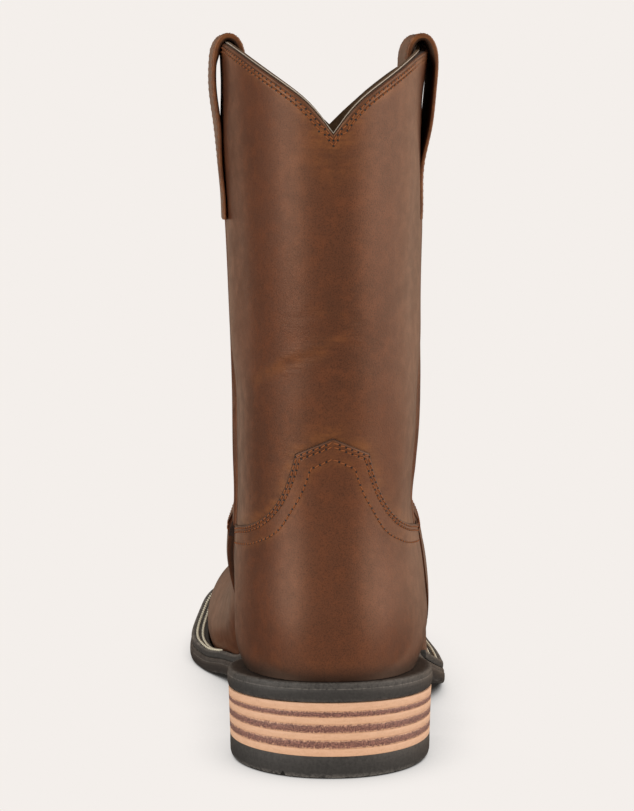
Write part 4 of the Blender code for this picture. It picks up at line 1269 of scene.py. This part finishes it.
def make_counter():
    halves = zip(counter_half(MEDIAL), counter_half(LATERAL))
    grid, girth, heights = [np.concatenate([m[:, ::-1], l[:, 1:]], axis=1) for m, l in halves]
    away = flat_distance(girth, heights, COUNTER_LINE[::3])
    normal = grid_normals(grid)
    if np.mean(normal[..., 1]) > 0:
        normal = -normal
    fall = counter_fall(grid[..., 1], grid[..., 0] < 0)
    outer = grid + normal * (GAP + (overlay_rise(away) - GAP) * fall)[..., None]
    inner = grid + normal * GAP
    foot = feather_height(grid[-1, :, 1])
    for skin in (outer, inner):
        skin[-1, :, 2] = foot
    points, faces, looks = shell(outer, inner)
    above_sole = heights - foot
    row = flat_distance(girth, heights, bent_line(COUNTER_INNER_ROW)[::3])
    pull = 0.34 * bell(away - 2.0, 3.0) + 0.12 * bell(above_sole - 6.0, 2.5) + 0.42 * bell(row, 1.6)
    from_seam = COUNTER_LIMIT - grid[..., 1]
    # Darkened: painted shade just above the sole and beside the side seam, and darker along the top edge
    shade_and_burnish = 0.9 * bell(above_sole, 4.6) + 0.75 * bell(away, 0.55) + 0.9 * bell(from_seam, 1.6)
    layers = leather_layers(away, pull, shade_and_burnish)
    leathers = [COUNTER_LOOK, EDGE_LOOK]
    make_piece("counter_leather", points, faces, leathers, ["heel_counter"], looks, layers)


def counter_stitches():
    """Two rows inside the counter's edge, and one row lower down."""
    rows = []
    for side in (MEDIAL, LATERAL):
        for distance in COUNTER_ROWS:
            rows.append(heel_row(inside_line(COUNTER_LINE, distance), side))
        rows.append(heel_row(bent_line(COUNTER_INNER_ROW), side))
    stitch_rows("counter_stitches", rows, THREAD_LOOK, OVERLAY_STITCH)


def inside_line(edge, distance):
    """A line below an edge in the flat, kept at a distance from all of it."""
    moved = beside(edge, distance)
    keep = (line_distance(moved, edge) > 0.97 * distance) & (moved[:, 0] >= 0)
    return moved[keep]


def heel_row(plane, side):
    """A row of stitches on the counter: its line and its normals, as far as the side seam."""
    girth, height = plane[plane[:, 0] < side_girth(plane[:, 1], side, SEAM_Y - 4.0)].T
    normal = heel_normal(girth, height, side)
    line = heel_surface(girth, height, side)
    rise = GAP + OVERLAY * counter_fall(line[:, 1:2], side == MEDIAL) + THREAD_LIFT
    return line + normal * rise, normal


# The vamp, in stations and shares of their sections

def vamp_start(stations):
    """Share of each section's height at which the vamp begins, and 1 where it has none."""
    shares = np.linspace(0, 1, 801)
    base_y, base_z = section_base(stations)
    columns = SECTION_CURVE(stations)
    y = base_y[:, None] + shares * (columns[:, :1] - base_y[:, None])
    z = base_z[:, None] + shares * (columns[:, 1:2] - base_z[:, None])
    outside = (y < VAMP_BACK) | ((z > VAMP_CURVE(y)[..., 0]) & (y < VAMP_EDGE[-1][0]))
    last = shares.size - 1 - np.argmax(outside[:, ::-1], axis=1)
    return np.where(outside.any(axis=1), shares[np.minimum(last + 1, 800)], 0.0)


def vamp_stations():
    """Stations of the vamp from its tongue's tip to its toe, and that of its upper rear corner."""
    corner = float(station_at(VAMP_BACK, float(VAMP_CURVE(VAMP_BACK)[0]))[0])
    trial = np.linspace(SEAT_Z - 150.0, corner, 1200)
    tip = trial[np.argmax(vamp_start(trial) < 0.9995)]
    foot = np.arange(VAMP_BACK - SEAT_Y, FEATHER_TOE_ROUND[0] - SEAT_Y, 3.5)
    toe = toward_end(FEATHER_TOE_ROUND, 17) - SEAT_Y
    tongue = tip + (corner - tip) * np.linspace(0, 1, 46) ** 1.3
    side = np.linspace(corner, VAMP_BACK - SEAT_Y, 34)
    return np.unique(np.round(np.concatenate([tongue, side, foot, toe]), 4)), corner


def vamp_fullness(x, y, z):
    """How far the vamp stands out beside the inner seam, on top of the shaft's own fullness."""
    depth = VAMP_CURVE(y)[..., 0] - z
    near = (1 - ramp(y, *VAMP_FULL_TO)) * (1 - ramp(depth, *VAMP_FULL_DEPTH))
    return np.where(x < 0, PIPING_PROUD * VAMP_FULLNESS, 0.0) * near


def make_vamp():
    stations, corner = vamp_stations()
    start = vamp_start(stations)
    grid = whole_sections(stations, np.linspace(0, 1, 49) ** 1.6, start)
    x, y, z = np.moveaxis(grid, -1, 0)
    normal = grid_normals(grid)
    on_top = stations <= corner + 1e-6
    edge = np.concatenate([grid[on_top, 0][::-1], grid[on_top, -1]])
    away = line_distance(grid.reshape(-1, 3), edge).reshape(x.shape)
    above_sole = z - feather_height(y)
    waist = ramp(y, *FLANK_FROM) * (1 - ramp(y, *FLANK_TO))
    flank = FLANK_FULLNESS * waist * bell(above_sole, FLANK_HEIGHT) * (x > FLANK_X)
    outer = grid + normal * (overlay_rise(away) + flank + vamp_fullness(x, y, z))[..., None]
    inner = grid + normal * GAP
    for skin in (outer, inner):
        set_on_feather(skin, np.nonzero(start <= 0)[0])
    points, faces, looks = shell(outer, inner, foot=False)
    looks[points[faces, 1].mean(axis=1) < VAMP_LEATHER_EDGE] = 0
    pull = 0.25 * bell(away - 2.5, 3.0) + 0.30 * bell(above_sole - 6.0, 8.0)
    # Darker just above the sole and along the top edge; the inner skin is painted fully dark as shade
    shade_and_burnish = 0.6 * bell(above_sole, 2.5) + 0.4 * bell(away, 0.7)
    layers = leather_layers(away, pull, shade_and_burnish, shade_inside=1.0)
    make_piece("vamp_leather", points, faces, [VAMP_LOOK, EDGE_LOOK], ["vamp"], looks, layers)


def vamp_stitches():
    """Two rows inside the vamp's top edge, from the tongue's tip to each side seam."""
    y = np.linspace(SEAM_Y + 4.0, VAMP_EDGE[-1][0], 240)
    edge = np.column_stack([y, VAMP_CURVE(y)[:, 0]])
    rows = []
    for side in (MEDIAL, LATERAL):
        for distance in VAMP_ROWS:
            station, share = station_at(*beside(edge, distance).T)
            on = share < 0.9985
            station, share = station[on], share[on]
            here = surface_point(station, share, side)
            ahead = surface_point(station + 0.8, share, side) - here
            upward = surface_point(station, np.minimum(share + 0.004, 1.0), side) - here
            normal = unit(np.cross(ahead, upward))
            normal *= np.sign(normal[:, :1] * side + 1e-9)
            full = vamp_fullness(*here.T)[:, None]
            rows.append((here + normal * (GAP + OVERLAY + THREAD_LIFT + full), normal))
    stitch_rows("vamp_stitches", rows, THREAD_LOOK, OVERLAY_STITCH)


# Piping and pull straps

def make_piping(side, word):
    """A bead down the side seam, sunk a little into the shaft."""
    foot = float(feather_height(SEAM_Y)) + 0.4
    heights = np.linspace(foot, PIPING_TOP, 130)
    even = np.ones(len(heights))
    line = np.column_stack([surface_x(SEAM_Y, heights, side), SEAM_Y * even, heights])
    turn = surface_x(SEAM_Y + 2, heights, side) - surface_x(SEAM_Y - 2, heights, side)
    forward = unit(np.column_stack([turn, 4.0 * even, 0.0 * even]))
    outward = unit(np.cross(forward, np.gradient(line, axis=0)) * side)
    raised = side_fullness(side, (SEAM_Y - 1.5) * even, heights)
    centre = raised - 0.45 - 0.45 * ramp(heights, *FULL_ABOVE_ANKLE)
    angle = circle(14)
    rings = []
    for a in angle:
        up = (centre + PIPING_RADIUS * np.sin(a))[:, None]
        rings.append(line - forward * (PIPING_RADIUS * np.cos(a)) + outward * up)
    rings = np.stack(rings, axis=1)
    rings[0, :, 2] = foot
    all_over = np.ones(rings.shape[:2])
    # The bead's half nearest the shaft is painted dark as shade
    under = np.sin(angle) < 0.3
    layers = {"pull": 0.2 * all_over, "shade_and_burnish": 0.9 * under * all_over, "wrinkle": 0.0 * all_over}
    sweep("piping_" + word, rings, TRIM_LOOK, ["side_piping_" + word], layers)


def strap_path(side):
    """Middle line of a pull strap in the plane of the ear, up the outside and over: x, z."""
    reach = np.array([-STRAP_WIDTH / 2, 0.0, STRAP_WIDTH / 2])

    def walls(z):
        return np.abs(surface_x(SEAM_Y + reach, z, side))

    inner = walls(STRAP_INSIDE_HEIGHT).min() - WALL - 0.8 - STRAP_THICK / 2
    ear = walls(STRAP_EAR_HEIGHT).max() + (0.0 if side == MEDIAL else STRAP_EAR_OUT_LATERAL)
    path = []
    for height, medial, lateral, thick in STRAP_STANDOFFS:
        path.append((walls(height).max() + (medial if side == MEDIAL else lateral) + thick / 2, height))
    path += [(ear + off, height) for off, height in STRAP_LOOP]
    path += [(inner, 250.0), (inner, STRAP_INSIDE_HEIGHT)]
    return np.array(path)


def strap_line(side):
    """Middle line of a strap with its thickness and the direction across it."""
    path = strap_path(side)
    knots = run_along(path)
    places = np.linspace(0, knots[-1], 130)
    line = natural_spline(knots, path)(places)
    along = unit(np.gradient(line, axis=0))
    thick = STRAP_END_THICK + (STRAP_THICK - STRAP_END_THICK) * ramp(places, *STRAP_THINNED)
    return line, np.column_stack([-along[:, 1], along[:, 0]]), thick


def twisted(side, place, off_middle):
    """Points of a strap off its middle line: its foot lies on the shaft, and it turns a little higher up."""
    x, z = side * place[:, 0], place[:, 1]
    turn = STRAP_TWIST * ramp(z, *STRAP_TURNS)
    lying = 1 - ramp(z, *STRAP_LIES)
    bend = surface_x(SEAM_Y + off_middle, z, side) - surface_x(SEAM_Y, z, side)
    return np.column_stack([x - turn * off_middle + lying * bend, np.full(len(z), SEAM_Y + off_middle), z])


def make_strap(side, word):
    line, across, thick = strap_line(side)
    angle = circle(32) + 0.05
    wide = STRAP_WIDTH / 2 * np.sign(np.cos(angle)) * np.abs(np.cos(angle)) ** 0.16
    deep = np.sign(np.sin(angle)) * np.abs(np.sin(angle)) ** 0.6 / 2
    rings = []
    for w, d in zip(wide, deep):
        fuller = max(d, 0.0) * 2.0 * ramp(line[:, 1], *STRAP_SWELLS)
        rings.append(twisted(side, line + across * (d * thick + fuller)[:, None], w))
    rings = np.stack(rings, axis=1)
    all_over = np.ones(rings.shape[:2])
    at_edge = np.abs(wide) > STRAP_WIDTH / 2 - STRAP_EDGE
    pull = np.where(at_edge, 0.55, 0.15) * all_over + 0.3 * bell(rings[..., 2] - 284.0, 5.0)
    # The strap's face toward the shaft is painted dark as shade
    layers = {"pull": np.clip(pull, 0, 1), "shade_and_burnish": 0.85 * (deep > 0.2) * all_over, "wrinkle": 0.0 * all_over}
    sweep("strap_" + word, rings, TRIM_LOOK, ["pull_strap_" + word], layers, 60.0)


def strap_stitches():
    rows = []
    for side in (MEDIAL, LATERAL):
        line, across, thick = strap_line(side)
        place = line - across * (thick / 2 - STRAP_THREAD_SINK)[:, None]
        normal = np.column_stack([-side * across[:, 0], np.zeros(len(line)), -across[:, 1]])
        for edge in (-1, 1):
            row = twisted(side, place, edge * (STRAP_WIDTH / 2 - STRAP_ROW_INSET))
            rows.append((row[2:-2], normal[2:-2]))
    stitch_rows("strap_stitches", rows, THREAD_LOOK, STRAP_STITCH)


# Sole pieces

def outline_stations(start, end, ending_back, ending_front, step=3.0):
    """Stations along a sole piece, close together where its ends are round."""
    stations = [start]
    if ending_back:
        stations += list(toward_end(ending_back, 41)[-2::-1])
    last = ending_front[0] if ending_front else end
    between = int(max(round((last - stations[-1]) / step), 1))
    stations += list(np.linspace(stations[-1], last, between + 1)[1:])
    if ending_front:
        stations += list(toward_end(ending_front, 41)[1:])
    return np.array(stations)


def closed_outline(stations, half_width):
    """Points round an outline: the lateral side forward, then the medial side back."""
    lateral = np.stack([half_width(stations, LATERAL), stations], axis=1)
    medial = np.stack([-half_width(stations, MEDIAL), stations], axis=1)
    return np.vstack([lateral, medial[::-1]])


def inset(outline, amount):
    """Moves an outline inward by an amount along its own normals."""
    along = np.zeros_like(outline)
    for step in (-1, 1):
        edge = step * (outline - np.roll(outline, step, axis=0))
        twin = np.linalg.norm(edge, axis=1, keepdims=True) < 1e-6
        edge = np.where(twin, step * (outline - np.roll(outline, 2 * step, axis=0)), edge)
        along += unit(edge)
    along = unit(along)
    return outline + amount * np.stack([-along[:, 1], along[:, 0]], axis=1)


def make_outsole():
    stations = outline_stations(0.0, SOLE_LENGTH, SOLE_HEEL_ROUND, SOLE_TOE_ROUND)
    edge = closed_outline(stations, sole_half_width)
    ahead_of_heel = ramp(edge[:, 1], HEEL_BREAST + 10.0, HEEL_BREAST + 70.0)[:, None]
    bulge = edge + (inset(edge, -SOLE_BULGE) - edge) * ahead_of_heel
    rings, wear, stain_and_shade = [], [], []
    for share, drawn, worn, stained in OUTSOLE_WALL:
        outline = inset(bulge, drawn)
        y = outline[:, 1]
        rings.append(np.column_stack([outline, sole_bottom(y) + share * (sole_top(y) - sole_bottom(y))]))
        wear.append(np.full(len(outline), worn))
        # The wall ahead of the waist is painted dark brown as shade, on top of the stain at its top
        stain_and_shade.append(np.maximum(stained, 0.5 * ramp(y, 80.0, 120.0)))
    layers = {"wear": np.stack(wear), "stain_and_shade": np.stack(stain_and_shade)}
    slab("outsole_rubber", rings, RUBBER_LOOK, ["outsole"], layers, 50.0)


def heel_outline(taper):
    """Outline of the heel, drawn in evenly from the sole's edge, with a straight breast."""
    stations = outline_stations(0.0, HEEL_BREAST - 1.0, SOLE_HEEL_ROUND, None)
    outline = closed_outline(stations, sole_half_width)
    drawn = inset(outline, taper)
    half = len(stations)
    front = HEEL_BREAST - 1.0 - taper
    drawn[half - 1] = (outline[half - 1, 0] - taper, front)
    drawn[half] = (outline[half, 0] + taper, front)
    return drawn


def make_heel_lifts():
    """The lifts of the heel from the top down, tan and dark in turn."""
    total = sum(LIFT_SHARES)
    top = 1.0
    for number, share in enumerate(LIFT_SHARES, start=1):
        bottom = top - share / total
        rings, across = [], []
        for v, drawn in LIFT_WALL:
            level = bottom + v * (top - bottom)
            outline = heel_outline(HEEL_INSET + HEEL_TAPER * (1 - level) + drawn)
            height = HEEL_CAP_THICK + level * (heel_line(outline[:, 1]) - HEEL_CAP_THICK)
            rings.append(np.column_stack([outline, height + 0.03 * (1 - 2 * v)]))
            across.append(np.full(len(outline), v))
        look, slot = (TAN_LOOK, "lift_tan") if number % 2 else (DARK_LOOK, "lift_dark")
        layers = {"across": np.stack(across)}
        slab("lift_%d" % number, rings, look, ["heel_lift_%d" % number], layers, 60.0)
        top = bottom


def make_heel_cap():
    edge = heel_outline(HEEL_INSET + HEEL_TAPER)
    rings, wear = [], []
    for height, drawn, worn in CAP_WALL:
        rings.append(np.column_stack([inset(edge, drawn), np.full(len(edge), height)]))
        wear.append(np.full(len(edge), worn))
    cap = slab("cap_rubber", rings, RUBBER_LOOK, ["heel_cap"], {"wear": np.stack(wear)}, 50.0)
    for x, back, front in CAP_GROOVES:
        cut_groove(cap, x, back, front)


def cut_groove(part, x, back, front):
    """A tread groove with sloping sides, taken out of the heel cap; its walls take the near-black painted
    shade of the needle holes.
    """
    wide, narrow = GROOVE_HALF_WIDTH, GROOVE_HALF_BOTTOM
    section = ((x - wide, -1.0), (x + wide, -1.0), (x + narrow, GROOVE_DEPTH), (x - narrow, GROOVE_DEPTH))
    points = np.array([(px, y, pz) for y in (back, front) for px, pz in section])
    faces = [(0, 1, 2, 3), (7, 6, 5, 4), (0, 4, 5, 1), (1, 5, 6, 2), (2, 6, 7, 3), (3, 7, 4, 0)]
    mesh = bpy.data.meshes.new("groove")
    mesh.from_pydata(in_part(points), [], faces)
    mesh.materials.append(HOLE_SHADE_LOOK)
    cutter = link("groove", mesh)
    step = part.modifiers.new("groove", "BOOLEAN")
    step.operation = "DIFFERENCE"
    step.solver = "EXACT"
    step.material_mode = "TRANSFER"
    step.object = cutter
    bpy.context.view_layer.update()
    result = part.evaluated_get(bpy.context.evaluated_depsgraph_get())
    part.data = bpy.data.meshes.new_from_object(result)
    part.modifiers.clear()
    bpy.data.objects.remove(cutter, do_unlink=True)


def make_insole():
    stations = outline_stations(SEAT_Y, TOE_Y, FEATHER_HEEL_ROUND, FEATHER_TOE_ROUND)
    feather = closed_outline(stations, lambda y, side: np.maximum(feather_half_width(y, side) - 0.2, 0))
    edge = inset(feather, WALL + 1.3)
    rings = []
    for up, drawn in INSOLE_WALL:
        outline = inset(edge, drawn)
        rings.append(np.column_stack([outline, feather_height(outline[:, 1]) + up]))
    slab("insole_board", rings, INSOLE_LOOK, ["insole"])


def welt_outlines():
    """Outer outline of the welt, and its inner ones at its foot and top, from heel round toe to heel."""
    def wall_half_width(y, side):
        return side * surface_x(y, welt_top(y), side)

    sole_stations = outline_stations(WELT_START_LATERAL, SOLE_LENGTH, None, SOLE_TOE_ROUND)
    foot_stations = outline_stations(WELT_START_LATERAL, TOE_Y, None, FEATHER_TOE_ROUND)
    share = np.linspace(0, 1, len(sole_stations))
    foot_stations = np.interp(share, np.linspace(0, 1, len(foot_stations)), foot_stations)
    outer = inset(closed_outline(sole_stations, sole_half_width), -1.0)
    low_in = inset(closed_outline(foot_stations, feather_half_width), -(GAP + OVERLAY + 1.0))
    high_in = inset(closed_outline(foot_stations, wall_half_width), -(GAP + OVERLAY + 1.2))
    kept = (outer[:, 0] > 0) | (outer[:, 1] > WELT_START_MEDIAL)
    outlines = [outline[kept] for outline in (outer, low_in, high_in)]
    for outline in outlines:
        for end in (0, -1):
            outline[end, 1] = WELT_START_LATERAL if outline[end, 0] > 0 else WELT_START_MEDIAL
    return outlines


def make_welt():
    outer, low_in, high_in = welt_outlines()
    wall = [(outer, drawn, down, worn) for drawn, down, worn in WELT_WALL]
    wall += [(high_in, 0.0, 0.0, 0.0), (low_in, 0.0, WELT_THICK - 0.1, 0.0)]
    rings, wear = [], []
    for outline, drawn, down, worn in wall:
        ring = inset(outline, drawn)
        ring[[0, -1]] = outline[[0, -1]]
        rings.append(np.column_stack([ring, welt_top(ring[:, 1]) - down]))
        wear.append(np.full(len(ring), worn))
    layers = {"wear": np.stack(wear, axis=1)}
    sweep("welt_strip", np.stack(rings, axis=1), WELT_LOOK, ["welt"], layers, 50.0)


def welt_stitches():
    """Two rows of light thread along the welt's top."""
    outer, _, high_in = welt_outlines()
    rows = []
    for share in WELT_ROWS:
        flat = outer + (high_in - outer) * share
        x, y = flat.T
        seen = (y > WELT_ROWS_FROM_MEDIAL) | (x > 0) & (y > WELT_ROWS_FROM_LATERAL)
        line = np.column_stack([flat, welt_top(y) + WELT_THREAD_LIFT])[seen]
        rows.append((line, np.tile([0.0, 0.0, 1.0], (len(line), 1))))
    stitch_rows("welt_stitches", rows, CREAM_LOOK, WELT_STITCH, 0.5, holes=False)


# Stage, light and camera

def aim(made, direction):
    """Turns a camera or light so that it looks in a direction."""
    made.rotation_mode = "QUATERNION"
    made.rotation_quaternion = direction.to_track_quat("-Z", "Y")


def make_camera():
    data = bpy.data.cameras.new("camera")
    data.sensor_width = SENSOR_WIDTH
    data.lens = FOCAL_PIXELS / FRAME_HEIGHT * SENSOR_WIDTH
    data.clip_end = 50.0
    camera = link("camera", data)
    camera.location = CAMERA_AT
    flat = math.cos(CAMERA_PITCH)
    aim(camera, Vector((math.sin(CAMERA_YAW) * flat, math.cos(CAMERA_YAW) * flat, -math.sin(CAMERA_PITCH))))
    bpy.context.scene.camera = camera


def make_light(name, azimuth, elevation, distance, wide, tall, power, colour):
    """A softbox that adds gloss only. Azimuth 0 is the camera's side, 90 the boot's outer side."""
    data = bpy.data.lights.new(name, "AREA")
    data.shape = "RECTANGLE"
    data.size = wide
    data.size_y = tall
    data.energy = power
    data.color = colour
    light = link(name, data)
    light.visible_diffuse = False
    a, e = math.radians(azimuth), math.radians(elevation)
    back = Vector((math.sin(a) * math.cos(e), -math.cos(a) * math.cos(e), math.sin(e)))
    light.location = LIGHT_TARGET + back * distance
    aim(light, -back)


def stage_surface(name, mesh, look):
    """A floor or backdrop that only the camera sees, so that it throws no light on the boot."""
    mesh.materials.append(look.material)
    surface = link(name, mesh)
    surface.visible_diffuse = False
    surface.visible_glossy = False
    surface.visible_shadow = False


def make_floor():
    """A pale floor with a faint shadow where the boot is close to it."""
    mesh = bpy.data.meshes.new("floor")
    corners = [(x * STAGE_SIZE, y * STAGE_SIZE, FLOOR_LEVEL) for x, y in ((-1, -1), (1, -1), (1, 1), (-1, 1))]
    mesh.from_pydata(corners, [], [(0, 1, 2, 3)])
    look = paper_look("floor_paper")
    near = look.node("AmbientOcclusion", Distance=SHADOW_REACH)
    near.samples = 16
    shade = look.mix(look.span(near.outputs["AO"], 0.25, 0.85), SHADOW_TONE, PAPER)
    look.to("Emission Color", look.mix(look.span(near.outputs["AO"], 0.1, 0.4), DEEP_SHADOW, shade))
    stage_surface("floor", mesh, look)


def make_backdrop():
    """A wide dome of the same paper behind everything."""
    mesh = bpy.data.meshes.new("backdrop")
    shape = bmesh.new()
    bmesh.ops.create_uvsphere(shape, u_segments=48, v_segments=24, radius=STAGE_SIZE)
    shape.to_mesh(mesh)
    shape.free()
    stage_surface("backdrop", mesh, paper_look("backdrop_paper"))


def make_world():
    world = bpy.data.worlds.new("studio")
    world.use_nodes = True
    background = world.node_tree.nodes["Background"]
    background.inputs["Color"].default_value = ROOM_TINT
    background.inputs["Strength"].default_value = ROOM_LIGHT
    world.cycles_visibility.glossy = False
    bpy.context.scene.world = world
    bpy.context.scene.view_settings.view_transform = "Standard"


def build():
    make_upper()
    collar_stitches()
    make_counter()
    counter_stitches()
    make_vamp()
    vamp_stitches()
    for side, word in ((MEDIAL, "medial"), (LATERAL, "lateral")):
        make_piping(side, word)
        make_strap(side, word)
    strap_stitches()
    make_outsole()
    make_heel_lifts()
    make_heel_cap()
    make_insole()
    make_welt()
    welt_stitches()
    make_camera()
    for light in LIGHTS:
        make_light(*light)
    make_floor()
    make_backdrop()
    make_world()


build()
